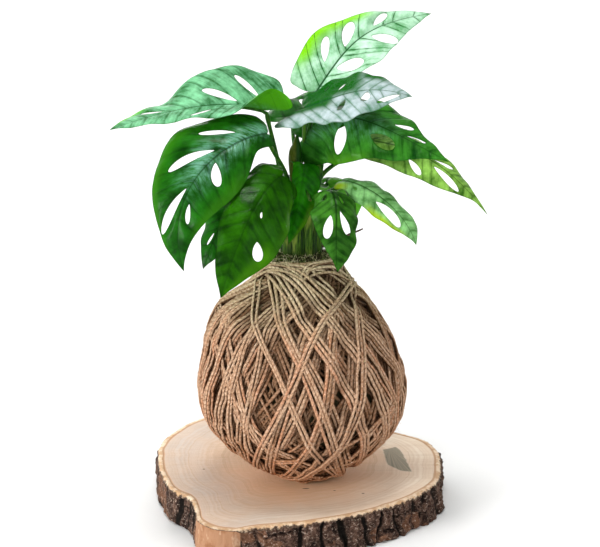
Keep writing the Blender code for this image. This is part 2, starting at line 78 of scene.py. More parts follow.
# Stems: (foot x, y), (top x, y, z)
STEM_FOOT_RADIUS, STEM_TOP_RADIUS = 3.1, 3.9
STEM_FOOT_HEIGHT = 185.3
STEMS = {
    "left": ((-10.5, -4.5), (-13, -6, 236)),
    "front_left": ((-4, -9.5), (-5, -11.5, 240)),
    "front_right": ((3.6, -8.8), (4, -10, 239)),
    "right": ((9.8, -3.2), (12, -4, 236)),
    "back_right": ((5.5, 5.5), (7.5, 8, 243)),
    "back_left": ((-4.5, 4.5), (-5, 6.5, 245)),
}
# Old leaf sheaths standing between the stems: foot (x, y) and pointed top
SHEATHS = [
    ((-7.4, -6.8), (-8.8, -8.4, 231)), ((-0.2, -8.2), (-0.8, -10.2, 237)), ((6.6, -6.4), (8, -8, 234)),
    ((0.6, -1.5), (1.2, -2, 246)), ((-12.4, 0.5), (-14.6, 0, 225)), ((10.6, 1.5), (12.4, 1.5, 229)),
]
STALK_FOOT_RADIUS, STALK_HEAD_RADIUS = 1.45, 1.1
STALK_FOOT_LIFT = 0.75
STALK_SPREAD = 2.15
STALK_SPLAY = 0.25
STALK_RISE, STALK_ARRIVAL = 0.4, 0.3
SOLID_BLADE_THICKNESS = 0.8
GAP = 0.3

# A half blade's outline, as shares: the lobe behind the stalk, the width stations and the drip tip
LOBE = [(0, 0), (-0.45, 0.12), (-0.95, 0.34), (-1, 0.58), (-0.5, 0.86)]
WIDTH_STATIONS = (0.12, 0.3, 0.5, 0.7, 0.86)
TIP = [(0.95, 0.32), (1, 0)]
FOLD_STATIONS = np.array([0, 0.3, 0.65, 1])
L, R = 1, -1  # the left and right half of a blade, seen from above with the tip ahead

GREEN = ((0.0006, 0.017, 0.0006), (0.016, 0.165, 0.006))
LIME = (0.2, 0.6, 0.006)

# Each leaf in five rows:
# - the stem that its stalk grows from, the angle it stands at round the stem's top, how far the stalk's
#   head is nudged into the fold of the blade, and four points that the midrib passes through, base to tip
# - the widths of its left and right half at WIDTH_STATIONS, the lobes' lengths, and the roll at base and tip
# - the fold of each half at FOLD_STATIONS, and the curl of each margin
# - its holes as (half, inner end, outer end, half height), an end being the share of the blade's length
#   and the distance out from the midrib
# - its darker and lighter green, the second colour of its patches, and what else differs in its look
LEAVES = {
    "upper_left": ("left", 110, 0.8, [(-26, -2, 300), (-61, -12, 304), (-96, -24, 299), (-130, -36, 289)],
        (24, 28, 22, 14, 8), (37, 33, 26, 20, 12), (15, 12), (-22, -22),
        (60, 8, 4, 0), (30, 30, -6, -4), (6, -10),
        [(R, 0.04, 10, 0.18, 27, 3.2), (R, 0.18, 4, 0.38, 15, 3.8), (R, 0.62, 3, 0.78, 10, 2),
         (L, 0.36, 7, 0.52, 14, 2)],
        # its lighter green is a pale mint that is a painted sheen
        ((0.002, 0.085, 0.005), (0.27, 0.69, 0.38)), (0.12, 0.5, 0.01),
        dict(patches=[(L, -0.2, 0.12, 0.2), (R, 0.75, 0.95, 0.7)], veins=0.35, banding=0.32, gloss=0.02)),
    "left_hanging": ("left", 350, 0.3, [(-24, -30, 286), (-53, -52, 276), (-77, -68, 247), (-78, -75, 200)],
        (11, 25, 27, 19, 8), (27, 38, 35, 21, 10), (2, 6), (-44, -34),
        (-6, -4, -4, 0), (-4, -6, -8, 0), (-16, -20),
        [(R, 0.16, 9, 0.3, 25, 2.8), (R, 0.32, 5, 0.53, 22, 4), (R, 0.57, 2, 0.81, 12, 4),
         (L, 0.37, 3, 0.47, 15, 4.4), (L, 0.64, 4, 0.75, 6, 2)],
        GREEN, (0.03, 0.17, 0.004),
        # painted_sheen: a painted bluish sheen near the midrib
        dict(patches=[(R, 0.2, 0.9, 0.85), (L, 0.3, 0.8, 0.8)], veins=0.15, rib=0.6, painted_sheen=1)),
    "front_centre": ("front_left", 270, 0,
        [(-14, -36, 258), (-26, -60, 249), (-39, -80, 226), (-53, -92, 186)],
        (20, 27, 28, 23, 11), (18, 20, 19, 14, 8), (8, 12), (-48, -44),
        (-8, -6, 0, 0), (-10, -16, -16, -8), (-10, -22),
        [(L, 0.38, 5, 0.43, 7, 1), (L, 0.59, 11, 0.71, 16, 4.4)],
        ((0.0006, 0.014, 0.0004), (0.022, 0.14, 0.001)), (0.045, 0.19, 0.002),
        dict(patches=[(L, 0.6, 1.1, 0.6), (L, 0.1, 0.55, 0.9)], veins=0.05, rib=0.35)),
    "low_left": ("left", 230, 0, [(-29, -16, 246), (-43, -30, 243), (-56, -43, 225), (-68, -50, 196)],
        (18, 20, 18, 13, 7), (18, 20, 18, 13, 7), (8, 8), (-30, -20),
        (0, -4, -4, 0), (0, -6, -8, 0), (-8, -14),
        [(R, 0.3, 4, 0.42, 13, 2.5), (R, 0.67, 2, 0.79, 4, 1.5)],
        GREEN, LIME, {}),
    "centre_hanging": ("front_right", 250, 0,
        [(0, -16, 264), (0, -25, 255), (-4, -35, 234), (-10, -40, 211)],
        (12, 13, 12, 9, 4), (8, 9, 8, 6, 3), (12, 10), (-16, -10),
        (0, -20, -26, -8), (0, -16, -16, -8), (-16, -12),
        [(L, 0.34, 3, 0.46, 9, 1.8)],
        ((0.001, 0.046, 0.001), (0.022, 0.23, 0.002)), (0.07, 0.22, 0.004),
        dict(patches=[(L, 0.5, 1.1, 0.7)], veins=0.1, rib=0.3)),
    "upper_right": ("back_right", 210, 0.4, [(2, -8, 302), (23, -18, 310), (45, -28, 315), (73, -36, 311)],
        (29, 28, 25, 15, 7), (22, 29, 30, 23, 12), (6, 22), (26, 28),
        (4, 6, 4, 0), (-2, -4, -4, 0), (-6, -8),
        [(L, 0.14, 16, 0.17, 21, 1.2), (L, 0.3, 10, 0.34, 17, 2), (R, 0.41, 6, 0.38, 18, 3.2),
         (R, 0.61, 2, 0.61, 12, 4.2), (R, 0.9, 2, 0.73, 13, 3)],
        # its pale lilac is a painted reflection; its dark green patches on the left half are the blade's own
        # green
        ((0.05, 0.18, 0.09), (0.57, 0.64, 0.7)), (0.003, 0.095, 0.002),
        dict(patches=[(L, -0.3, 0.52, 0), (L, 0.48, 0.75, 0.65), (L, -0.3, 0.3, -0.4)],
             veins=0.5, rib=0.9, banding=0.12, gloss=0.015)),
    "mid_right": ("front_right", 20, -0.2, [(11, -2, 292), (38, -16, 295), (67, -30, 284), (98, -40, 268)],
        (28, 31, 28, 17, 9), (34, 33, 25, 17, 7), (8, 22), (28, 26),
        (-4, -2, -2, 0), (-34, -36, -26, -4), (-8, -14),
        [(R, 0.2, 5, 0.2, 27, 8), (R, 0.44, 8, 0.64, 10, 6), (L, 0.54, 9, 0.67, 14, 2.5),
         (L, 0.66, 4, 0.8, 7, 2)],
        ((0.001, 0.04, 0.002), (0.05, 0.27, 0.022)), (0.06, 0.25, 0.006),
        # painted_sheen: a painted bluish sheen near the midrib
        dict(patches=[(R, 0.05, 0.5, 0.85)], painted_sheen=0.6)),
    "far_right": ("back_right", 330, 0, [(45, 12, 278), (69, 4, 274), (97, -8, 261), (129, -22, 229)],
        (18, 18, 15, 10, 3), (16, 18, 17, 12, 3), (8, 8), (26, 20),
        (-4, -4, -4, 0), (-22, -26, -22, -6), (-8, -12),
        [(R, 0.34, 7, 0.48, 14, 3), (R, 0.52, 3, 0.76, 6, 3), (L, 0.48, 3, 0.62, 8, 2.6)],
        ((0.014, 0.075, 0.002), (0.34, 0.64, 0.11)), (0.09, 0.06, 0.015),
        dict(patches=[(L, 1.06, 1.2, -2)], veins=0.4)),
    "low_right": ("right", 20, 0, [(28, -16, 252), (43, -30, 249), (62, -42, 236), (77, -46, 212)],
        (8, 13, 10, 9, 8), (9, 14, 15, 12.5, 6), (5, 5), (22, 22),
        (-6, -6, -4, 0), (-8, -8, -8, 0), (-10, -10),
        [(R, 0.45, 5, 0.78, 5.5, 4.2), (R, 0.16, 3, 0.22, 5, 1.2)],
        ((0.024, 0.135, 0.014), (0.345, 0.75, 0.275)), (0.34, 0.52, 0.01),
        dict(patches=[(R, 0.45, 0.85, 0.8), (R, -0.2, 0.1, 0.4)])),
    "front_right": ("right", 280, 0, [(18, -38, 248), (22, -52, 240), (22, -62, 221), (23, -64, 197)],
        (15, 17, 16, 15, 9), (14, 18, 15, 9, 3), (8, 8), (0, 0),
        (-12, -14, -10, 0), (-14, -16, -10, 0), (-12, -12),
        [(R, 0.38, 4, 0.64, 6.5, 4), (L, 0.33, 3, 0.6, 10, 3.6), (R, 0.04, 4, 0.14, 8, 1.5),
         (L, 0.1, 4, 0.22, 6, 1.5)],
        ((0.0006, 0.02, 0.0006), (0.055, 0.23, 0.018)), LIME, {}),
    "top_right": ("back_left", 60, 0.4, [(10, 16, 312), (31, 26, 340), (55, 36, 357), (94, 44, 367)],
        (26, 28, 20, 12, 6), (16, 29, 30, 20, 9), (4, 4), (50, 50),
        (0, 0, 0, 0), (14, 18, 14, 0), (8, 10),
        [(L, 0.2, 8, 0.34, 19, 3.8), (L, 0.36, 3, 0.51, 15, 5), (L, 0.6, 3, 0.72, 9, 3.4),
         (R, 0.2, 3, 0.32, 20, 7.5), (R, 0.54, 4, 0.66, 22, 7)],
        # its pale mint is a painted reflection, and the lime patch along its left margin is painted light
        # shining through
        ((0.04, 0.27, 0.06), (0.6, 0.87, 0.68)), LIME,
        dict(patches=[(L, 0.1, 0.62, 0.72)], veins=0.95, rib=0.95)),
    "back_left": ("back_left", 180, -0.35, [(-16, 26, 248), (-32, 48, 250), (-50, 74, 238), (-66, 96, 212)],
        (23, 24, 21, 14, 7), (23, 24, 21, 14, 7), (12, 12), (0, 0),
        (-6, -8, -6, 0), (-6, -8, -6, 0), (-14, -14),
        [(L, 0.18, 5, 0.28, 17, 2.5), (L, 0.38, 4, 0.52, 16, 2.8), (R, 0.22, 5, 0.34, 17, 2.5),
         (R, 0.46, 4, 0.6, 14, 2.5)],
        GREEN, LIME, {}),
    "back_right": ("back_right", 90, 0, [(18, 30, 246), (26, 50, 245), (36, 76, 230), (42, 98, 202)],
        (18, 19, 17, 11, 5), (18, 19, 17, 11, 5), (9, 9), (0, 0),
        (-6, -10, -8, 0), (-6, -10, -8, 0), (-14, -14),
        [(L, 0.2, 4, 0.32, 13, 2.2), (R, 0.24, 4, 0.36, 13, 2.2), (R, 0.5, 3, 0.62, 10, 2)],
        ((0.024, 0.18, 0.01), (0.13, 0.42, 0.024)), LIME, {}),
    "back_upper": ("back_left", 300, 0, [(-6, 40, 292), (18, 64, 302), (44, 90, 302), (68, 114, 290)],
        (27, 28, 25, 16, 8), (27, 28, 25, 16, 8), (13, 13), (22, 24),
        (-4, -6, -4, 0), (-4, -6, -4, 0), (-12, -12),
        [(L, 0.16, 5, 0.26, 20, 2.8), (L, 0.36, 4, 0.5, 19, 3), (L, 0.58, 3, 0.72, 12, 2.2),
         (R, 0.2, 5, 0.32, 20, 2.8), (R, 0.44, 4, 0.58, 16, 2.8)],
        GREEN, LIME, {}),
}
SHEATHED_STALK = "mid_right"  # still wrapped in its sheath, which is SHEATH_RADIUS wide to each side
SHEATH_RADIUS = 5.2

# Young leaf still rolled in its sheath, and the brown aerial root: points and radii
ROLLED_LEAF = [(-5, -9.2, 240.9, 1.4), (-5.5, -8.6, 256, 2.6), (-5, -8.4, 270, 2.9), (-4, -8.4, 283, 0.5)]
AERIAL_ROOT = [(14.5, -4, 203, 0.9), (24, -8, 207, 0.8), (33, -8, 212, 0.7), (43, -5, 216, 0.45)]


# ---- meshes ----

def make_mesh(name, parts, material, names=(), sharp=None):
    """An object from parts laid end to end: points in millimetres, rows of corner numbers, rows of marks.

    Each three marks become the point attribute that names gives.
    """
    points, faces, marks = zip(*parts)
    starts = np.cumsum([0] + [len(part) for part in points])
    faces = join([part + start for part, start in zip(faces, starts)]).astype(np.int32)
    marks = join(marks)
    mesh = bpy.data.meshes.new(name)
    mesh.vertices.add(starts[-1])
    mesh.vertices.foreach_set("co", join(points).astype(np.float32).ravel() * MM)
    mesh.loops.add(faces.size)
    mesh.loops.foreach_set("vertex_index", faces.ravel())
    mesh.polygons.add(len(faces))
    mesh.polygons.foreach_set("loop_start", np.arange(len(faces), dtype=np.int32) * faces.shape[1])
    mesh.update(calc_edges=True)
    for index, key in enumerate(names):
        layer = mesh.attributes.new(key, "FLOAT_VECTOR", "POINT")
        layer.data.foreach_set("vector", marks[:, 3 * index:3 * index + 3].astype(np.float32).ravel())
    mesh.shade_smooth()
    if sharp:
        mesh.set_sharp_from_angle(angle=math.radians(sharp))
    mesh.materials.append(material)
    return add_object(name, mesh)


def add_object(name, data, place=(0, 0, 0)):
    made = bpy.data.objects.new(name, data)
    made.location = Vector(place) * MM
    bpy.context.scene.collection.objects.link(made)
    return made


def columns(*values):
    """Arrays and numbers side by side, as the columns of one array."""
    return np.stack(np.broadcast_arrays(*values), -1)


def grid_faces(rows, sides, wrap_rows=False):
    """Quads round a tube of points that are numbered row by row."""
    r, c = np.divmod(np.arange((rows if wrap_rows else rows - 1) * sides), sides)
    below, beside = (r + 1) % rows, (c + 1) % sides
    return columns(r * sides + c, r * sides + beside, below * sides + beside, below * sides + c)


def fan(first, sides, hub):
    """Triangles from a ring of points to the point hub."""
    ring = first + np.arange(sides)
    return columns(ring, np.roll(ring, -1), hub)


def shell(rows, sides, start=True, end=True, turn=1):
    """Triangles over a tube of points, closed onto the points after its last row; turn=-1 faces them in."""
    quads = grid_faces(rows, sides)[:, ::turn]
    faces = [quads[:, [0, 1, 2]], quads[:, [0, 2, 3]]]
    count = rows * sides
    if start:
        faces.append(fan(0, sides, count)[:, ::-turn])
    if end:
        faces.append(fan(count - sides, sides, count + start)[:, ::turn])
    return join(faces)


def unit(vectors):
    return vectors / np.maximum(np.linalg.norm(vectors, axis=-1, keepdims=True), 1e-9)


def travel(path):
    """How far along the path each of its points lies."""
    return join([[0], np.cumsum(np.linalg.norm(np.diff(path, axis=0), axis=1))])


def spline(points, count):
    """count points on the Catmull-Rom curve through points."""
    points = np.asarray(points, float)
    at = np.linspace(0, len(points) - 1, count)
    k = np.clip(np.floor(at).astype(int), 0, len(points) - 2)
    t = (at - k)[:, None]
    a, b, c, d = (points[np.clip(k + offset, 0, len(points) - 1)] for offset in (-1, 0, 1, 2))
    return 0.5 * (2 * b + (c - a) * t + (2 * a - 5 * b + 4 * c - d) * t ** 2
                  + (3 * b - a - 3 * c + d) * t ** 3)


def bezier(controls, t):
    """Points on the curve, and its directions there."""
    a, b, c, d = controls
    t = t[:, None]
    s = 1 - t
    return (a * s ** 3 + b * 3 * s * s * t + c * 3 * s * t * t + d * t ** 3,
            unit((b - a) * s * s + (c - b) * 2 * s * t + (d - c) * t * t))


def smoothstep(low, high, x):
    t = np.clip((x - low) / (high - low), 0, 1)
    return t * t * (3 - 2 * t)


def lumps(points, size, seed):
    """Smooth noise from -1 to 1 at points, about one lump to each size."""
    scaled = points / size + 100
    base = np.floor(scaled).astype(np.int64)
    part = scaled - base
    part = part * part * (3 - 2 * part)
    total = 0
    for corner in range(8):
        bits = np.array([corner & 1, corner >> 1 & 1, corner >> 2 & 1])
        x, y, z = (base + bits).T
        code = x * 73856093 ^ y * 19349663 ^ z * 83492791 ^ seed * 40503  # a common hash of whole numbers
        code = (code ^ (code >> 13)) * 1274126177 & 0x7FFFFFFF
        code = (code ^ (code >> 15)) & 0xFFFF
        total += np.prod(np.where(bits, part, 1 - part), axis=1) * (code / 32767.5 - 1)
    return total


def rough(points, size, seed):
    """lumps() summed at three ever finer sizes."""
    return sum(lumps(points, size / 2 ** i, seed + i) / 2 ** i for i in range(3))


def tube(path, radii, sides, ribs=0, rib_depth=0):
    """Points, faces and (share along, turn, millimetres along) of a closed tube with rounded ends."""
    ahead = unit(np.gradient(path, axis=0))
    along = travel(path)
    across = np.cross(UP, ahead[0])
    if np.linalg.norm(across) < 0.1:
        across = np.cross((1, 0, 0), ahead[0])
    frames = []
    for step in ahead:
        across = unit(across - step * np.dot(across, step))
        frames.append(across)
    frames = np.array(frames)
    over = np.cross(ahead, frames)
    turn = np.arange(sides) / sides
    around = turn * FULL_TURN
    swell = 1 + rib_depth * np.cos(ribs * around)
    rings = path[:, None] + radii[:, None, None] * swell[:, None] * (
        frames[:, None] * np.cos(around)[:, None] + over[:, None] * np.sin(around)[:, None])
    ends = [path[0] - ahead[0] * radii[0] * 0.5, path[-1] + ahead[-1] * radii[-1] * 0.5]
    marks = columns((along / along[-1])[:, None], turn, along[:, None]).reshape(-1, 3)
    marks = join([marks, [[0, 0, 0], [1, 0, along[-1]]]])
    return join([rings.reshape(-1, 3), ends]), shell(len(path), sides), marks


HAIR_SHARE = np.linspace(0, 1, 4)[:, None]


def hair(root, way, length, bend, hint, thick, taper, marks, split=False):
    """A bent three-sided hair: points, faces and marks, which are the share along it and those given."""
    across = unit(np.cross(way, hint))
    over = np.cross(way, across)
    path = root + way * length * HAIR_SHARE + bend * HAIR_SHARE ** 2
    corners = [across, -0.5 * across + 0.87 * over, -0.5 * across - 0.87 * over]
    rings = np.stack([path + corner * (thick * (1 - taper * HAIR_SHARE)) for corner in corners], 1)
    faces = shell(4, 3, False, False) if split else grid_faces(4, 3)
    return rings.reshape(-1, 3), faces, columns(np.repeat(HAIR_SHARE[:, 0], 3), *marks)


# ---- materials ----

class Value:
    """What a node gives. Arithmetic on it adds Math nodes."""

    def __init__(self, look, socket):
        self.look, self.socket = look, socket

    def step(self, low, high, start=0, end=1):
        """A smooth step from start at low to end at high."""
        inputs = {0: self, 1: low, 2: high, 3: start, 4: end}
        return self.look.node("MapRange", inputs, interpolation_type="SMOOTHSTEP")[0]


SIGNS = {"add": "ADD", "sub": "SUBTRACT", "mul": "MULTIPLY", "truediv": "DIVIDE", "abs": "ABSOLUTE"}
for sign, operation in SIGNS.items():
    setattr(Value, f"__{sign}__", lambda *values, name=operation: values[0].look.math(name, *values))


class Look:
    """A material, to which each call adds a node."""

    def __init__(self, name):
        self.material = bpy.data.materials.new(name)
        self.material.use_nodes = True
        self.tree = self.material.node_tree
        self.shader = self.tree.nodes["Principled BSDF"]
        self.place = self.stretch(self.node("TexCoord", {})[3], (1000, 1000, 1000))  # in millimetres

    def node(self, kind, inputs, **settings):
        """What a new node gives, from inputs by number or name."""
        made = self.tree.nodes.new("ShaderNode" + kind)
        for key, value in settings.items():
            setattr(made, key, value)
        self.put(made, inputs)
        return [Value(self, socket) for socket in made.outputs]

    def put(self, node, inputs):
        for key, value in inputs.items():
            socket = node.inputs[key]
            if isinstance(value, Value):
                self.tree.links.new(value.socket, socket)
            else:
                socket.default_value = (*value, 1) if socket.type == "RGBA" else value

    def mark(self, name):
        """The three numbers of a mesh attribute."""
        return self.split(self.node("Attribute", {}, attribute_name=name)[1])

    def split(self, vector):
        return self.node("SeparateXYZ", {0: vector})

    def vector(self, x, y, z=0):
        return self.node("CombineXYZ", {0: x, 1: y, 2: z})[0]

    def math(self, operation, *values):
        return self.node("Math", dict(enumerate(values)), operation=operation)[0]

    def distance(self, x, y):
        return self.math("SQRT", x * x + y * y)

    def stretch(self, vector, scale):
        return self.node("VectorMath", {0: vector, 1: scale}, operation="MULTIPLY")[0]

    def noise(self, size, detail=3, roughness=0.55, at=None):
        """Noise from 0 to 1, in lumps of about size millimetres, at a vector or at the place stretched."""
        if isinstance(at, tuple):
            at = self.stretch(self.place, at)
        inputs = {"Vector": at or self.place, "Scale": 1 / size, "Detail": detail, "Roughness": roughness}
        return self.node("TexNoise", inputs)[0]

    def mix(self, share, first, second):
        return self.node("Mix", {0: share, 6: first, 7: second}, data_type="RGBA")[2]

    def lay(self, colour, *layers):
        """Lays more colours over it, each as (value, where it starts, where it is full, share, colour)."""
        for value, start, full, share, over in layers:
            colour = self.mix(value.step(start, full, 0, share), colour, over)
        return colour

    def bump(self, height, depth, strength=1):
        """A normal from heights of 0 to 1 that stand for depth millimetres."""
        return self.node("Bump", {"Height": height, "Distance": depth * MM, "Strength": strength})[0]

    def paint(self, colour, roughness, gloss, **more):
        """Sets the shader, and gives the material."""
        more.update({"Base Color": colour, "Roughness": roughness, "Specular IOR Level": gloss})
        self.put(self.shader, more)
        return self.material


# ---- log slice ----

SLICE_SIDES = 900
USUAL_RADIUS = 112  # of the slice; ring marks run up to it
BARK_RADIUS = 110  # turns angles round the side into millimetres
# Rows of the top face as shares of the radius, out to the bark's edge
TOP_ROWS = (0.02, 0.2, 0.4, 0.6, 0.75, 0.86, 0.915, 0.94, 0.95, 0.956, 0.962, 0.968, 0.978, 0.99, 1)
CAMBIUM = 0.956
SIDE_ROWS = 34
BARE_ANGLES = (229, 250)  # the facet that has lost its bark
THIN_ANGLES = (165, 229)  # where only thin bark is left
CRACK_GAP = (5, 14)  # degrees from one upright crack in the bark to the next
CRACK_WIDTH = (0.9, 3)
PLATE_WIDTH = 26  # how far a crack across a plate runs
CRACK_DEPTH = 4.2
CHIP_DEPTH = 1.3
FOOT_BEVEL = 1.5  # how far the side draws in at its foot
CAMBIUM_DEPTH = 0.35


def span(low, high, ease_in, ease_out, x):
    """1 between low and high, easing in and out round them."""
    rise = smoothstep(low - ease_in, low + ease_in, x)
    return rise * (1 - smoothstep(high - ease_out, high + ease_out, x))


def outline_radius(angles):
    """The slice's radius at angles in degrees from +X, on its upper edge."""
    dense = spline(SLICE_OUTLINE + [(360, SLICE_OUTLINE[0][1])], 721)
    ripple = 0.5 * lumps(columns(angles, 0, 0), 5, 4)
    return np.interp(angles, dense[:, 0], dense[:, 1]) + ripple


def bark_cracks(angles, heights):
    """How near each place on the side is to a crack between bark plates (1 in it), and how far its plate
    stands out."""
    rng = np.random.default_rng(23)
    depth = np.zeros(len(angles))
    stand = np.zeros(len(angles))
    at = 0
    while at < 360:
        at += rng.uniform(*CRACK_GAP)
        slant = rng.uniform(-0.3, 0.3)
        wander = lumps(columns(heights, at, 0), 7, 7) * 1.8
        width = rng.uniform(*CRACK_WIDTH) * (1 + 0.5 * lumps(columns(heights, at + 50, 0), 6, 9))
        gap = np.radians(angles - at) * BARK_RADIUS + (heights - SLICE_THICKNESS / 2) * slant + wander
        depth = np.maximum(depth, np.exp(-(gap / width) ** 2) * rng.uniform(0.55, 1))
        stand = np.where(gap > 0, rng.uniform(-0.9, 1), stand)
        cross = heights - rng.uniform(4, 22) + 2.5 * lumps(columns(angles, at, 0), 3, 8)
        cut = np.exp(-(cross / 0.8) ** 2) * (gap > 0) * (gap < PLATE_WIDTH) * rng.uniform(0, 0.7)
        depth = np.maximum(depth, cut)
    return depth, stand


def build_slice():
    angles = np.arange(SLICE_SIDES) * 360 / SLICE_SIDES
    around = np.radians(angles)
    radius = outline_radius(angles)
    bare = span(*BARE_ANGLES, 1.5, 1.5, angles)
    thin = span(*THIN_ANGLES, 6, 2, angles)
    rings = []

    def ring(share, height, offset=0, kind=0, plate=0):
        out = radius * share + offset
        spread = 1 + (SLICE_FLARE - 1) * (SLICE_THICKNESS - height) / SLICE_THICKNESS
        x = SLICE_CENTRE[0] + out * spread * np.cos(around)
        y = SLICE_CENTRE[1] + out * spread * np.sin(around)
        rings.append(columns(x, y, height, share * USUAL_RADIUS, kind, plate))

    edge = columns(around * BARK_RADIUS, 0, 0)
    edge_drop = (0.3 + 1.9 * np.abs(lumps(edge, 6, 3)) + 1.5 * np.abs(lumps(edge, 1.9, 13))) * (1 - bare)
    for share in TOP_ROWS:
        sunk = CAMBIUM_DEPTH * math.exp(-((share - CAMBIUM) / 0.004) ** 2)
        last = smoothstep(0.985, 1, share) * edge_drop
        ring(share, SLICE_THICKNESS - sunk - last, -0.5 * (share == 1))
    for row in range(1, SIDE_ROWS):
        height = (SLICE_THICKNESS - edge_drop) * (1 - row / (SIDE_ROWS - 1))
        spot = columns(np.cos(around) * BARK_RADIUS, np.sin(around) * BARK_RADIUS, height)
        crack, stand = bark_cracks(angles, height)
        plates = stand + 0.9 * rough(spot, 9, 31) + 1.35 * rough(spot, 3.4, 41) - 0.6
        chipped = smoothstep(0.15, 0.4, lumps(spot * (1, 1, 1.6), 17, 57) + 0.35 - height / 40)
        bark = 0.9 + plates * (1 - 0.6 * crack) - CRACK_DEPTH * crack - CHIP_DEPTH * chipped
        thin_bark = -0.5 + 0.5 * plates - 1 * crack
        wood = -1.6 + 0.15 * np.sin(around * 160) + 0.2 * lumps(spot * (1, 1, 0.2), 3, 5)
        offset = bark * (1 - thin) + thin_bark * thin
        offset = offset * (1 - bare) + wood * bare
        offset -= FOOT_BEVEL * smoothstep(0.93, 1, 1 - height / SLICE_THICKNESS)
        ring(1, height, offset, 1 + bare, crack - chipped * (1 - crack))
    ring(0.97, 0, kind=1)
    ring(0.02, 0)
    hubs = [[*SLICE_CENTRE, height, 0, 0, 0] for height in (SLICE_THICKNESS, 0)]
    rows = join(rings + [hubs])
    part = (rows[:, :3], shell(len(rings), SLICE_SIDES, turn=-1), rows[:, 3:])
    return make_mesh("log_slice", [part], slice_look(), ["grain"], sharp=50)


# The grey-green knot mark, corner by corner, and the small dark spots as (x, y, half length, half width)
KNOT_MARK = [(65, 47), (75.5, 52.5), (79, 45), (83.5, 3), (75.5, 5.5), (66, 17)]
KNOT_HEART = (70, 49)  # its rays fan out from here
SPOTS = [(2.3, -27.5, 2.6, 0.9), (43.9, -36, 1.1, 0.8), (-76, 8, 1, 0.8), (23.3, -31, 0.9, 0.6)]


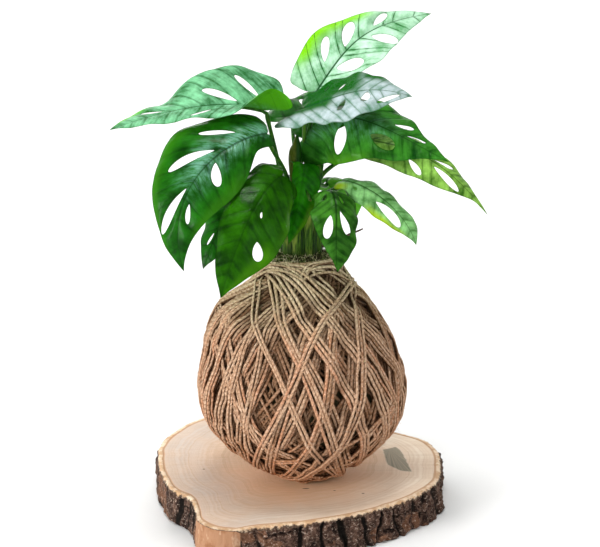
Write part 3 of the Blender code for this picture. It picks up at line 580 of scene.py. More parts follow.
def slice_look():
    look = Look("log_slice")
    ring, kind, plate = look.mark("grain")
    x, y, _ = look.split(look.place)

    # Sawn face: rings that follow the outline, faint saw lines, and a warmer heart
    count = ring + look.noise(26, 2) * 7
    bands = look.noise(3.4, 4, 0.65, at=look.vector(count, 0))
    lines = look.noise(0.9, 2, 0.5, at=look.vector(count, 3))
    fibre = look.noise(2.2, 4, 0.6, at=(0.35, 3.2, 1))
    saw = look.noise(1.1, 2, at=(0.03, 1, 1))
    broad = look.noise(45, 2)
    # greyer and darker towards -X: partly the sapwood's own greyer tone, partly painted shade that evens out
    # the stronger light from the left
    sap = look.mix(x.step(-70, 30), (0.53, 0.445, 0.385), (0.8, 0.69, 0.56))
    sap = look.lay(sap, (broad, 0.35, 0.65, 0.5, (0.68, 0.5, 0.365)))
    heart = look.mix(broad, (0.7, 0.455, 0.28), (0.78, 0.545, 0.37))
    inner = ring + look.noise(30, 3) * 34
    ball_shade_reach = look.distance(x, y) + look.noise(25, 3) * 40  # painted warm shade and bounce light: redder where the ball stands
    face = look.lay(
        look.mix(inner.step(60, USUAL_RADIUS), heart, sap),
        (bands, 0.38, 0.7, 0.38, (0.52, 0.32, 0.17)),
        (lines, 0.48, 0.7, 0.26, (0.42, 0.25, 0.13)),
        (fibre, 0.5, 0.75, 0.3, (0.92, 0.84, 0.72)),
        (saw, 0.5, 0.75, 0.26, (0.46, 0.29, 0.16)),
        # painted warm shade round the ball's foot
        (ball_shade_reach, 100, 45, 0.55, (0.78, 0.43, 0.235)),
    )

    # Cambium line and the inner bark outside it
    cambium = CAMBIUM * USUAL_RADIUS
    line = abs(ring - cambium)
    rim = look.mix(look.noise(7, 4, 0.65).step(0.38, 0.62), (0.72, 0.57, 0.41), (0.5, 0.31, 0.17))
    ragged = ring + look.noise(3, 4, 0.7) * 5
    face = look.mix(ring.step(cambium - 0.2, cambium + 0.4), face, rim)
    face = look.lay(face, (line, 1.3, 0.4, 0.7, (0.4, 0.2, 0.085)),
                    (ragged, 113.2, 114.4, 1, (0.07, 0.042, 0.028)))

    # Knot mark and spots
    mask = 1
    wander = (look.noise(5) - 0.5) * 2.4
    for (ax, ay), (bx, by) in zip(KNOT_MARK, KNOT_MARK[1:] + KNOT_MARK[:1]):
        length = math.hypot(bx - ax, by - ay)
        nx, ny = (by - ay) / length, -(bx - ax) / length
        beyond = x * -nx + y * -ny + (nx * ax + ny * ay) + wander
        mask = look.math("MULTIPLY", mask, beyond.step(-0.6, 0.8, 1, 0))
    rays = look.math("ARCTAN2", y - KNOT_HEART[1], x - KNOT_HEART[0])
    fan_lines = look.noise(1.3, 2, at=look.vector(rays * 26, 0))
    stain = look.mix(fan_lines.step(0.35, 0.65), (0.13, 0.12, 0.085), (0.33, 0.29, 0.2))
    face = look.mix(mask * 0.88, face, stain)
    for at_x, at_y, half_x, half_y in SPOTS:
        near = look.distance((x - at_x) / half_x, (y - at_y) / half_y) + look.noise(1) * 0.5
        face = look.lay(face, (near, 1.5, 0.9, 0.85, (0.1, 0.045, 0.025)))

    # Bark: plates with pale specks, dark cracks and reddish chips; wood where it is bare
    tall = look.stretch(look.place, (1, 1, 0.45))
    specks = look.noise(2.3, 5, 0.8, at=(1, 1, 1.5))
    crust = look.noise(5, 5, 0.75, at=tall).step(0.36, 0.66)
    bark = look.mix(crust, (0.009, 0.004, 0.003), (0.12, 0.068, 0.048))
    chip = look.mix(look.noise(3, 4, 0.6, at=tall), (0.08, 0.032, 0.018), (0.2, 0.1, 0.056))
    bark = look.lay(
        bark,
        (plate, -0.15, -0.55, 0.85, chip),
        (specks, 0.54, 0.66, 0.8, (0.46, 0.35, 0.28)),
        (specks, 0.46, 0.36, 0.8, (0.006, 0.003, 0.002)),
        (plate, 0.2, 0.6, 0.95, (0.004, 0.003, 0.002)),
    )
    grain = look.noise(1.6, 4, 0.6, at=(1, 1, 0.06))
    wood = look.lay(
        look.mix(grain, (0.26, 0.125, 0.062), (0.42, 0.235, 0.14)),
        (look.noise(8, 4, 0.65), 0.5, 0.66, 0.6, (0.24, 0.095, 0.038)),
        (look.noise(4, 3, at=tall), 0.55, 0.7, 0.5, (0.62, 0.43, 0.29)),
    )
    on_side = kind.step(0.35, 0.65)
    colour = look.mix(on_side, face, look.mix(kind.step(1.3, 1.6), bark, wood))
    sawn = look.mix(0.5, bands, fibre)
    crumbly = look.mix(0.6, specks, look.noise(2.4, 5, 0.7, at=tall))
    relief = look.mix(on_side, sawn, crumbly)
    return look.paint(colour, kind.step(0.4, 0.6, 0.52, 0.92), 0.12, Normal=look.bump(relief, 0.5, 0.7))


# ---- wound ball ----

TWINE_RADIUS = 1.3
TWINE_LIFT = 0.9  # half of how far one strand raises the next, which presses into it
STRAND_RANGE = (0.86, 1.06)  # of the strands' thickness
PLY_PITCH = 8  # length of one turn of the two plies
ANGLE_LEVEL = 78  # height above the ball's foot that polar angles are measured at
MOUTH_ANGLE = 15.5  # no strand comes nearer to the top than this
PILE_DEPTH = 6.5  # the winding's lower turns are pressed to about this far below its top
PROUD = 0.3  # share kept of what stands above the usual top
WINDING_INSET = 0.8  # how far the usual top of the pile lies inside the ball's outside
MIDDLE_RADIUS = 76  # of the ball, where the strands of a bundle lie side by side


def directions_at(polar, turn):
    """Directions from the ball's middle: polar angle from the top and turn from +X, in radians."""
    return columns(np.sin(polar) * np.cos(turn), np.sin(polar) * np.sin(turn), np.cos(polar))


def polar_angles(directions):
    return np.arccos(np.clip(directions[:, 2], -1, 1))


BALL_RADIUS, BALL_RISE = (spline(BALL_PROFILE, 400) - (0, ANGLE_LEVEL)).T
BALL_ANGLES = join([[0], np.arctan2(BALL_RADIUS, BALL_RISE), [math.pi]])
BALL_REACHES = np.hypot(BALL_RADIUS, BALL_RISE)
BALL_REACHES = join([[BALL_REACHES[0] * 0.97], BALL_REACHES, [ANGLE_LEVEL]])


def ball_section(angle):
    """The ball's radius, and its height over ANGLE_LEVEL, at polar angles."""
    reach = np.interp(angle, BALL_ANGLES, BALL_REACHES)
    return reach * np.sin(angle), reach * np.cos(angle)


def on_ball(directions, inset=0):
    """Points on the ball's outside in the given directions from its middle, and the normals there."""
    directions = unit(directions)
    angle = polar_angles(directions)
    flat = unit(directions[:, :2])
    radius, rise = ball_section(angle)
    height = rise + ANGLE_LEVEL
    radius = radius + SHOULDER_SWELL * np.exp(-((height - SHOULDER_HEIGHT) / 20) ** 2)
    more, less = ball_section(np.minimum(angle + 0.02, math.pi)), ball_section(np.maximum(angle - 0.02, 0))
    slope = unit(columns(less[1] - more[1], more[0] - less[0]))
    normals = join([flat * slope[:, :1], slope[:, 1:]], 1)
    points = join([flat * radius[:, None], (height + BALL_FOOT)[:, None]], 1)
    points -= normals * np.reshape(inset, (-1, 1))
    above = points[:, 2] - SLICE_THICKNESS - SHOULDER_HEIGHT
    points[:, 0] -= SHOULDER_LEAN * np.exp(-(above / np.where(above > 0, *SHOULDER_SPREAD[::-1])) ** 2)
    points[:, 0] += FOOT_LEAN * np.exp(-np.maximum(points[:, 2] - SLICE_THICKNESS, 0) / FOOT_SPREAD)
    return points, normals


def loop_directions(neck, turn, shift, waver, mouth, count=1400):
    """One loop of twine round the ball, passing the top at polar angle neck on the side that turn gives.

    shift sets it beside its neighbours of the same bundle; waver is (size, count, phase) of its wander.
    """
    neck, turn = math.radians(neck), math.radians(turn)
    near = np.array([math.sin(neck) * math.sin(turn), -math.sin(neck) * math.cos(turn), math.cos(neck)])
    side = unit(np.cross(UP, near))
    pole = np.cross(near, side)
    at = np.linspace(math.pi, 3 * math.pi, count, endpoint=False)[:, None]  # the ends meet at the bottom
    size, times, phase = waver
    tilt = np.radians(shift + size * np.sin(times * at + phase))
    ring = np.cos(tilt) * (near * np.cos(at) + side * np.sin(at)) + np.sin(tilt) * pole
    mouth, ease = math.radians(mouth), math.radians(1.2)
    held = mouth + ease * np.logaddexp(0, (polar_angles(ring) - mouth) / ease)
    return join([unit(ring[:, :2]) * np.sin(held)[:, None], np.cos(held)[:, None]], 1)


def evenly(path, values, spacing):
    """values read at even spacing along a closed path of points."""
    along = travel(join([path, path[:1]]))
    count = max(int(along[-1] / spacing), 8)
    at = np.arange(count) * along[-1] / count
    return columns(*(np.interp(at, along, column) for column in join([values, values[:1]]).T))


def slide(values, reach, pick):
    """The largest (pick=np.maximum) or least of values over a sliding stretch of a closed loop."""
    result = values
    for step in range(1, reach + 1):
        result = pick(result, pick(np.roll(values, step), np.roll(values, -step)))
    return result


def blur(values, reach):
    kernel = np.hanning(2 * reach + 3)[1:-1]
    padded = join([values[-reach:], values, values[:reach]])
    return np.convolve(padded, kernel / kernel.sum(), mode="valid")


def compass(points, normals):
    """Directions ahead along a closed path of points, and beside it."""
    ahead = unit(np.roll(points, -1, 0) - np.roll(points, 1, 0))
    return ahead, np.cross(normals, ahead)


LAY_STEP = 0.7  # between the places where a loop feels for what lies under it
BRIDGE_REACH = 18  # steps over which a strand bridges hollows
SAG_REACH, BEND_REACH = 12, 7  # steps over which its climbs and its bends are eased
CELL = 0.9  # of the height map that the winding climbs on
MAP_LOW, MAP_SIZE = np.array([-100, -100, 10]), (200, 200, 210)
CROWN_START, CROWN_STEP, CROWN_TURN = 13, 1.5, 3  # the grid of usual heights, in degrees


class Winding:
    """Lays loops over each other on the ball and keeps how high the pile has grown."""

    def __init__(self):
        self.heights = np.zeros([int(size / CELL) for size in MAP_SIZE], np.float32)
        self.loops = []

    def cell(self, points):
        return tuple(((points - MAP_LOW) / CELL).astype(int).T)

    def lay(self, directions, fine):
        directions = unit(evenly(on_ball(directions)[0], directions, LAY_STEP))
        points, normals = on_ball(directions)
        beside = compass(points, normals)[1]
        under = np.max([self.heights[self.cell(points + beside * offset)] for offset in (-0.7, 0, 0.7)], 0)
        bridged = slide(slide(under, BRIDGE_REACH, np.maximum), BRIDGE_REACH, np.minimum)
        height = blur(np.maximum(blur(bridged, SAG_REACH), under - 0.5), BEND_REACH)
        for offset in np.arange(-1.2, 1.3, 0.4):
            top = height + TWINE_LIFT * (1 + math.sqrt(1 - (offset / TWINE_RADIUS) ** 2))
            np.maximum.at(self.heights, self.cell(points + beside * offset), top.astype(np.float32))
        self.loops.append((directions, height, fine))

    def crown(self):
        """The usual height of the pile's top round each place, as a grid of polar angles and turns."""
        grid = []
        for angle in np.radians(np.arange(CROWN_START, 178, CROWN_STEP)):
            ring = directions_at(angle, np.radians(np.arange(0, 360, CROWN_TURN)))
            row = self.heights[self.cell(on_ball(ring)[0])].astype(float)
            reach = int(min(12 / max(math.sin(angle), 0.2), 40) / CROWN_TURN) + 1
            grid.append(np.mean([np.roll(row, step) for step in range(-reach, reach + 1)], 0))
        padded = np.pad(grid, ((2, 2), (0, 0)), mode="edge")
        weights = (0.1, 0.2, 0.4, 0.2, 0.1)
        return 1 + sum(padded[i:i + len(grid)] * weight for i, weight in enumerate(weights))


def crown_at(grid, directions):
    """The grid of Winding.crown() read in the given directions."""
    directions = unit(directions)
    row = (np.degrees(polar_angles(directions)) - CROWN_START) / CROWN_STEP
    column = np.mod(np.degrees(np.arctan2(directions[:, 1], directions[:, 0])), 360) / CROWN_TURN
    row = np.clip(row, 0, len(grid) - 1.001)
    r, c = row.astype(int), column.astype(int) % grid.shape[1]
    down, across = row - r, column - np.floor(column)
    beside = (c + 1) % grid.shape[1]
    return ((grid[r, c] * (1 - across) + grid[r, beside] * across) * (1 - down)
            + (grid[r + 1, c] * (1 - across) + grid[r + 1, beside] * across) * down)


def pressed(depth):
    """How far below the ball's outside a place that lies at depth under the pile's usual top ends up."""
    return np.where(depth > 0, PILE_DEPTH * (1 - np.exp(-depth / PILE_DEPTH)), depth * PROUD)


# Bundles of twine from the lowest to the topmost: (neck angle, turn of the neck point, strands)
UNDER_LOOPS = 150
FILL_BUNDLES = 30
TOP_BUNDLES = [
    (45, -160, 2), (38, -128, 3), (24, 178, 2), (22, -124, 3), (53, 151, 2), (8, 24, 3), (17, 150, 3),
    (20, 42, 3), (19, 62, 2), (17, 81, 3), (19, 100, 2), (19, 115, 3), (11, 32, 2), (12, 50, 2),
    (9, 16, 2), (13, 7, 3), (18, -22, 4), (17, 30, 2), (10, 62, 2), (18, -81, 3), (22, -95, 2),
    (20, -62, 3), (18, -45, 3), (16, -35, 2), (20, 120, 3), (27, 79, 2),
]
GOLDEN_TURN = 137.5  # spreads the fill bundles evenly


def wind_ball():
    rng = np.random.default_rng(5)
    winding = Winding()
    pitch = math.degrees(2 * TWINE_RADIUS / MIDDLE_RADIUS)

    def bundle(neck, turn, strands, fine=True):
        for strand in range(strands):
            waver = (rng.uniform(0.1, 0.5), rng.integers(2, 5), rng.uniform(0, 6.3))
            shift = (strand - (strands - 1) / 2) * pitch * rng.uniform(0.98, 1.12)
            mouth = MOUTH_ANGLE + rng.uniform(0, 2)
            winding.lay(loop_directions(neck, turn, shift, waver, mouth), fine)

    for _ in range(UNDER_LOOPS):
        bundle(rng.uniform(15, 42), rng.uniform(-180, 180), 1, False)
    for index in range(FILL_BUNDLES):
        turn = index * GOLDEN_TURN + rng.uniform(-12, 12)
        bundle(rng.uniform(15, 25), turn, int(rng.integers(2, 4)))
    for neck, turn, strands in TOP_BUNDLES:
        bundle(neck + rng.uniform(-1, 1), turn, strands)
    return winding


def strand_mesh(points, normals, sides, rng, depth):
    """A closed loop of twine along points, and its marks: turns of its plies so far, the strand's own
    number, how deep it lies in the pile, and the sine and cosine of the angle round it from facing out."""
    ahead, _ = compass(points, normals)
    out = unit(normals - ahead * np.sum(normals * ahead, 1, keepdims=True))
    beside = np.cross(out, ahead)
    along = travel(join([points, points[:1]]))
    twist = along[:-1] / along[-1] * max(round(along[-1] / PLY_PITCH), 1)
    slub = 1 + 0.1 * lumps(points + rng.uniform(0, 50), 9, 3) + 0.07 * lumps(points, 3, 8)
    angle = (np.arange(sides) + rng.uniform()) / sides * FULL_TURN
    radius = TWINE_RADIUS * rng.uniform(*STRAND_RANGE) * slub[:, None]
    rings = (points[:, None] + out[:, None] * (radius * np.cos(angle))[..., None]
             + beside[:, None] * (radius * np.sin(angle))[..., None]).reshape(-1, 3)
    rings[:, 2] = np.maximum(rings[:, 2], SLICE_THICKNESS + 0.1)
    marks = columns(twist[:, None], rng.uniform(), depth[:, None], np.sin(angle), np.cos(angle), 0)
    return rings, grid_faces(len(points), sides, wrap_rows=True), marks.reshape(-1, 6)


FINE_STEP, COARSE_STEP = 2.2, 5.5
FINE_SIDES, COARSE_SIDES = 6, 5
STRANDS_PER_PIECE = 40


def build_twine():
    """The winding in a few pieces, and the loose fibres that stand off it."""
    winding = wind_ball()
    crown = winding.crown()
    rng = np.random.default_rng(17)
    under, outer, centres = [], [], []
    for directions, height, fine in winding.loops:
        path, _ = on_ball(directions)
        both = evenly(path, join([directions, height[:, None]], 1), FINE_STEP if fine else COARSE_STEP)
        directions, height = both[:, :3], both[:, 3] + TWINE_LIFT
        depth = crown_at(crown, directions) - height - TWINE_LIFT
        points, normals = on_ball(directions, pressed(depth) + TWINE_RADIUS + WINDING_INSET)
        points[:, 2] = np.maximum(points[:, 2], SLICE_THICKNESS + TWINE_RADIUS * 0.8)
        strand = strand_mesh(points, normals, FINE_SIDES if fine else COARSE_SIDES, rng, depth)
        if fine:
            if len(centres) % STRANDS_PER_PIECE == 0:
                outer.append([])
            outer[-1].append(strand)
            centres.append((points, normals))
        else:
            under.append(strand)
    letters = "abcdefgh"[:len(outer)]
    names = ["lower_turns", *("outer_turns_" + letter for letter in letters), "loose_fibres"]
    look = twine_look()
    return [make_mesh("twine_" + name, parts, look, ["strand", "lie"])
            for name, parts in zip(names, [under] + outer + [loose_fibres(centres)])]


FUZZ_COUNT = 5600
FIBRE_RADIUS = 0.085
FIBRE_LENGTH = (1.5, 5.5)


def loose_fibres(centres):
    """Short jute fibres standing off the outer turns."""
    rng = np.random.default_rng(29)
    fibres = []
    for _ in range(FUZZ_COUNT):
        points, normals = centres[int(rng.integers(len(centres)))]
        k = int(rng.integers(len(points)))
        ahead = unit(points[(k + 1) % len(points)] - points[k - 1])
        beside = np.cross(normals[k], ahead)
        lean = rng.normal(0, 0.6)
        start = points[k] + (normals[k] * math.cos(lean) + beside * math.sin(lean)) * TWINE_RADIUS * 0.8
        if start[2] < SLICE_THICKNESS + 3:
            continue
        way = unit(ahead * rng.choice([-1, 1]) * rng.uniform(0.3, 1.2) + normals[k] * rng.uniform(0.25, 1.1)
                   + beside * rng.normal(0, 0.5))
        length = rng.uniform(*FIBRE_LENGTH)
        bend = unit(rng.normal(0, 1, 3)) * length * 0.3
        marks = (rng.uniform(), 0, 0.7, 0.7, 0)
        fibres.append(hair(start, way, length, bend, bend, FIBRE_RADIUS, 0.7, marks))
    return fibres


def twine_look():
    look = Look("jute_twine")
    turns, strand, depth = look.mark("strand")
    side, facing, _ = look.mark("lie")
    _, _, z = look.split(look.place)

    # Two plies twisted round each other, and the fibres that run along them
    phase = look.math("ARCTAN2", side, facing) + turns * FULL_TURN
    sine, cosine = look.math("SINE", phase), look.math("COSINE", phase)
    ply = abs(sine)
    along = turns * PLY_PITCH + strand * 900
    fibres = look.noise(0.42, 4, 0.7, at=look.vector(along * 0.28, cosine * 1.3, sine * 1.3))
    grit = look.noise(1.4, 5, 0.8)
    hue = look.math("FRACT", strand * 17)
    high = z + look.noise(22) * 30
    mossy = look.mix(strand, (0.66, 0.6, 0.38), (0.24, 0.185, 0.09))
    tan = look.lay(
        look.mix(strand, (0.59, 0.36, 0.225), (0.29, 0.15, 0.078)),
        (hue, 0.5, 0.9, 0.6, (0.6, 0.262, 0.138)),
        (look.noise(16, at=look.vector(along, 0)), 0.35, 0.7, 0.6, (0.54, 0.385, 0.265)),
        # moist and mossy near the mouth, redder towards the foot
        (high, 150, 205, 0.8, mossy),
        (high, 115, 35, 0.66, (0.4, 0.13, 0.038)),
        # fibres; painted shade in the groove between the plies, on each strand's sides away from the
        # outside, and deeper in the pile
        (fibres, 0.46, 0.7, 0.7, (0.125, 0.048, 0.017)),
        (fibres, 0.42, 0.25, 0.6, (0.74, 0.57, 0.44)),
        (grit, 0.53, 0.66, 0.7, (0.78, 0.62, 0.49)),
        (grit, 0.47, 0.34, 0.7, (0.085, 0.032, 0.011)),
        (ply, 0.45, 0, 0.45, (0.12, 0.048, 0.017)),
        (facing, 0.78, 0, 0.88, (0.06, 0.023, 0.008)),
        (depth, 0.8, 7, 0.7, (0.11, 0.05, 0.021)),
    )
    # painted shade: darker still where the strands lie deep near the mouth
    tan = look.mix(depth.step(0.2, 3) * high.step(150, 195, 0, 0.75), tan, (0.085, 0.045, 0.024))
    relief = look.mix(0.5, fibres, grit) * 0.6 + ply.step(0, 0.8) * 0.6
    return look.paint(tan, 0.9, 0.02, Normal=look.bump(relief, 0.6))


def build_moss_core():
    """What the winding is pulled over: dark moss, lumpy, seen only through the gaps."""
    rows, sides = 84, 180
    polar = np.radians(np.linspace(13, 176, rows))[:, None]
    directions = directions_at(polar, np.arange(sides) / sides * FULL_TURN).reshape(-1, 3)
    points, _ = on_ball(directions, PILE_DEPTH + 1.6)
    points += directions * (1.4 * rough(points, 4, 61))[:, None]
    points = join([points, [points[:sides].mean(0), points[-sides:].mean(0)]])
    part = (points, shell(rows, sides)[:, ::-1], np.zeros((len(points), 3)))
    return make_mesh("moss_under_twine", [part], moss_look("moss_dark", 0.6), ["tuft"])


# ---- moss at the mouth ----

MOSS_RADIUS = 23.5
MOSS_LEVEL = 195.5
MOSS_CROWN = 3.5  # how far the mound rises in the middle
TUFTS = 2600
TUFT_RADIUS = 0.26
TUFT_LENGTH = (1.5, 6.5)


def build_mouth_moss():
    """A lumpy mound of moss in the mouth, with fine tufts standing on it between the stems."""
    rng = np.random.default_rng(37)
    above = MOSS_LEVEL - SLICE_THICKNESS - SHOULDER_HEIGHT
    shift = SHOULDER_LEAN * math.exp(-(above / SHOULDER_SPREAD[1]) ** 2)
    rows, sides = 22, 72
    share = np.linspace(1, 0.03, rows)[:, None]
    turns = np.arange(sides) / sides * FULL_TURN
    points = columns(share * MOSS_RADIUS * np.cos(turns) - shift, share * MOSS_RADIUS * np.sin(turns),
                     MOSS_LEVEL + MOSS_CROWN * (1 - share ** 2)).reshape(-1, 3)
    points[:, 2] += 1.3 * rough(points * (1, 1, 0), 6, 71)
    points[:sides, 2] -= 8  # the mound's edge, down among the twine
    points = join([points, [[-shift, 0, MOSS_LEVEL + MOSS_CROWN]]])
    parts = [(points, shell(rows, sides, start=False), np.zeros((len(points), 3)))]
    for _ in range(TUFTS):
        reach = MOSS_RADIUS * math.sqrt(rng.uniform(0, 1.22))
        turn = rng.uniform(0, FULL_TURN)
        rise = MOSS_LEVEL + MOSS_CROWN * max(1 - (reach / MOSS_RADIUS) ** 2, 0) - 0.8
        root = np.array([reach * math.cos(turn) - shift, reach * math.sin(turn), rise])
        out = np.array([math.cos(turn), math.sin(turn), 0])
        way = unit(out * rng.uniform(-0.4, 1) + rng.normal(0, 0.6, 3) + (0, 0, 0.6))
        length = rng.uniform(*TUFT_LENGTH)
        droop = -UP * length * rng.uniform(0.1, 0.5)
        marks = (rng.uniform(), 1)
        parts.append(hair(root, way, length, droop, (0.3, 0.2, 1), TUFT_RADIUS, 0.8, marks, split=True))
    return make_mesh("mouth_moss", parts, moss_look("moss_green", 1), ["tuft"])


def moss_look(name, life):
    """Moss: near black in its depths, and greener at its tips the more alive it is."""
    look = Look(name)
    share, chance, blade = look.mark("tuft")
    ground = look.mix(look.noise(3.5, 5, 0.7), (0.012, 0.01, 0.006), (0.06, 0.048, 0.022))
    green = look.mix(chance, (0.04, 0.085, 0.012), (0.34, 0.4, 0.13))
    green = look.lay(green, (chance, 0.62, 0.66, 1, (0.8, 0.74, 0.46)))
    tip = look.mix(share.step(0, 0.4), (0.03, 0.034, 0.012), green)
    colour = look.mix(blade * life, ground, tip)
    return look.paint(colour, 0.95, 0.04, Normal=look.bump(look.noise(1.2, 4, 0.8), 0.9))


# ---- stems and stalks ----

# How much thicker these look than their solids
STEM_SWELL, STALK_SWELL, ROLLED_LEAF_SWELL, ROOT_SWELL = 1.08, 1.2, 1.65, 1.25
STEM_SWAY = 0.35
OLD_SHEATH_RADIUS = 2.9


def build_stems():
    green = stem_look("stem_skin", (0.01, 0.04, 0.003), (0.08, 0.18, 0.012), (0.25, 0.32, 0.05))
    dry = stem_look("sheath_skin", (0.002, 0.014, 0.001), (0.022, 0.07, 0.004), (0.07, 0.11, 0.012))
    made = []
    share = np.linspace(0, 1, 36)
    for index, (name, ((x, y), top)) in enumerate(STEMS.items()):
        foot = np.array([x, y, STEM_FOOT_HEIGHT])
        sway = np.array([STEM_SWAY * math.cos(index), STEM_SWAY * math.sin(index), 0])
        sway = np.sin(share * math.pi)[:, None] * sway
        radii = STEM_SWELL * (STEM_FOOT_RADIUS + (STEM_TOP_RADIUS - STEM_FOOT_RADIUS) * share)
        radii = radii * (1 - 0.55 * smoothstep(0.93, 1, share)) + 0.12 * np.sin(share * 31 + index)
        part = tube(foot + (top - foot) * share[:, None] + sway, radii, 40, 6, 0.04)
        made.append((make_mesh(f"stem_{name}_skin", [part], green, ["stalk"]), "stem_" + name, "stalk"))
    parts = []
    share = np.linspace(0, 1, 32)
    for index, ((x, y), top) in enumerate(SHEATHS):
        foot = np.array([x, y, STEM_FOOT_HEIGHT])
        path = foot + (top - foot) * share[:, None]
        path[:, 1] -= 0.7 * np.sin(share * math.pi)
        radii = OLD_SHEATH_RADIUS * (1 - share ** 3) + 0.15 + 0.15 * np.sin(share * 23 + index)
        parts.append(tube(path, radii, 24, 5, 0.09))
    made.append((make_mesh("stem_sheaths", parts, dry, ["stalk"]), "stem_front_left", "stalk"))
    return made


def stem_look(name, dark, light, fleck):
    look = Look(name)
    _, _, z = look.split(look.place)
    streaks = look.noise(0.9, 3, 0.6, at=(1, 1, 0.07))
    broad = look.noise(7, 2, at=(1, 1, 0.3))
    colour = look.lay(look.mix(streaks.step(0.36, 0.66), dark, light), (broad, 0.52, 0.66, 0.8, fleck),
                      (z, 206, 190, 0.65, (0.04, 0.046, 0.014)))
    return look.paint(colour, 0.35, 0.08, Normal=look.bump(streaks, 0.25, 0.6))


STALK_SIDES = 14
RIB_RADIUS, RIB_TIP_RADIUS = 0.95, 0.14


def build_stalk(name, blade, look):
    """The stalk, thickened where it meets the blade, and the rib that it becomes under the blade."""
    seat = math.radians(blade.seat)
    out = np.array([math.cos(seat), math.sin(seat), 0])
    foot = np.array(STEMS[blade.stem][1], float) + out * STALK_SPREAD + UP * STALK_FOOT_LIFT
    base, ahead, _, normal = (row[0] for row in blade.frame(np.zeros(1)))
    sink = SOLID_BLADE_THICKNESS / 2 + GAP + STALK_HEAD_RADIUS - blade.nudge
    head = base - normal * sink - ahead * 0.5
    reach = np.linalg.norm(head - foot)
    leave = unit(UP + out * STALK_SPLAY)
    arrive = unit(ahead * 0.4 + normal * 0.5 + UP * 0.5)
    share = np.linspace(0, 1, max(int(reach / 1.6), 14))
    controls = (foot, foot + leave * reach * STALK_RISE, head - arrive * reach * STALK_ARRIVAL, head)
    path, _ = bezier(controls, share)
    path[0] -= UP * 2
    radii = STALK_FOOT_RADIUS + (STALK_HEAD_RADIUS - STALK_FOOT_RADIUS) * share
    radii = (STALK_SWELL * radii + 0.35 * np.exp(-((share - 0.9) / 0.07) ** 2)
             + 0.5 * np.exp(-(share / 0.05) ** 2))
    along = np.linspace(2, blade.length * 0.93, 46)
    origin, _, _, normal = blade.frame(along)
    rib_radii = RIB_RADIUS * (1 - along / blade.length) ** 0.8 + RIB_TIP_RADIUS
    path = join([path[:-1], origin - normal * (RIB_SINK + 0.75 * rib_radii)[:, None]])
    radii = join([radii[:-1], rib_radii])
    points, faces, marks = tube(path, radii, STALK_SIDES)
    if name == SHEATHED_STALK:
        row = np.minimum(np.arange(len(points)) // STALK_SIDES, len(path) - 1)
        run = row / (len(share) - 1)
        wide = smoothstep(0, 0.12, run) * (1 - smoothstep(0.75, 1, run))
        points[:, 0] += (points[:, 0] - path[row, 0]) * wide * (SHEATH_RADIUS / radii[row] - 1)
    return make_mesh(f"leaf_{name}_stalk_and_rib", [(points, faces, marks)], look, ["stalk"])


def build_rolled_leaf():
    """The young leaf, still rolled up in its sheath: a spindle with the edge of the roll winding up it."""
    steps = 60
    rows = spline(ROLLED_LEAF, steps)
    path = rows[:, :3]
    points, faces, marks = tube(path, ROLLED_LEAF_SWELL * rows[:, 3], 36)
    turn = (marks[:, 1] + marks[:, 0] * 1.6) % 1
    centre = path[(marks[:, 0] * (steps - 1)).astype(int)]
    points = centre + (points - centre) * (0.86 + 0.2 * turn)[:, None]
    look = Look("rolled_leaf")
    streaks = look.noise(0.8, 3, at=(1, 1, 0.12))
    olive = look.mix(streaks, (0.02, 0.045, 0.002), (0.1, 0.13, 0.01))
    green = look.mix(streaks, (0.001, 0.022, 0.001), (0.012, 0.07, 0.004))
    colour = look.mix(look.split(look.place)[0].step(-6.2, -3.6), olive, green)
    skin = look.paint(colour, 0.35, 0.08, Normal=look.bump(streaks, 0.25, 0.7))
    return make_mesh("rolled_leaf_skin", [(points, faces, marks)], skin, ["stalk"])


def build_aerial_root():
    rows = spline(AERIAL_ROOT, 48)
    path = rows[:, :3]
    path += 0.25 * columns(*(lumps(path + shift, 4, 3) for shift in (0, 30, 60)))
    part = tube(path, ROOT_SWELL * rows[:, 3] * (1 + 0.12 * lumps(path, 2, 5)), 12)
    look = Look("aerial_root")
    grain = look.noise(1.1, 4, 0.7, at=(0.4, 1, 1))
    colour = look.mix(grain, (0.03, 0.012, 0.006), (0.13, 0.065, 0.035))
    bark = look.paint(colour, 0.8, 0.5, Normal=look.bump(grain, 0.3))
    return make_mesh("aerial_root_bark", [part], bark, ["stalk"])


# ---- leaves ----

BLADE_HALF = 0.24  # half the thickness of a blade
RIB_SINK = 0.74  # keeps the rib out of sight from above, in the sheet's underside
OUTLINE_STEP = 1.25
GRID_STEP = 1.5
ROW_STEP = GRID_STEP * 0.87  # rows of nearly equal-sided triangles
WIDEST_HALF = 40  # the inner points reach this far out, and LOBE_STEPS back behind the stalk
LOBE_STEPS = 18
VEIN_COUNT = 8.5  # side veins along a half
VEIN_SLOPE = 0.62  # how far forward a side vein runs for each millimetre outwards
VEIN_CURVE = 0.006
QUILT = 0.055  # rise between two side veins, as a share of the distance between them
GROOVE_DEPTH = 0.5  # along the midrib
RIDGE_RISE = 0.35  # beside it
WAVE_HEIGHT = 1.1  # of the margin
BROAD_HEIGHT = 0.9  # of the blade's wide waves
MARGIN_DROP = 0.9


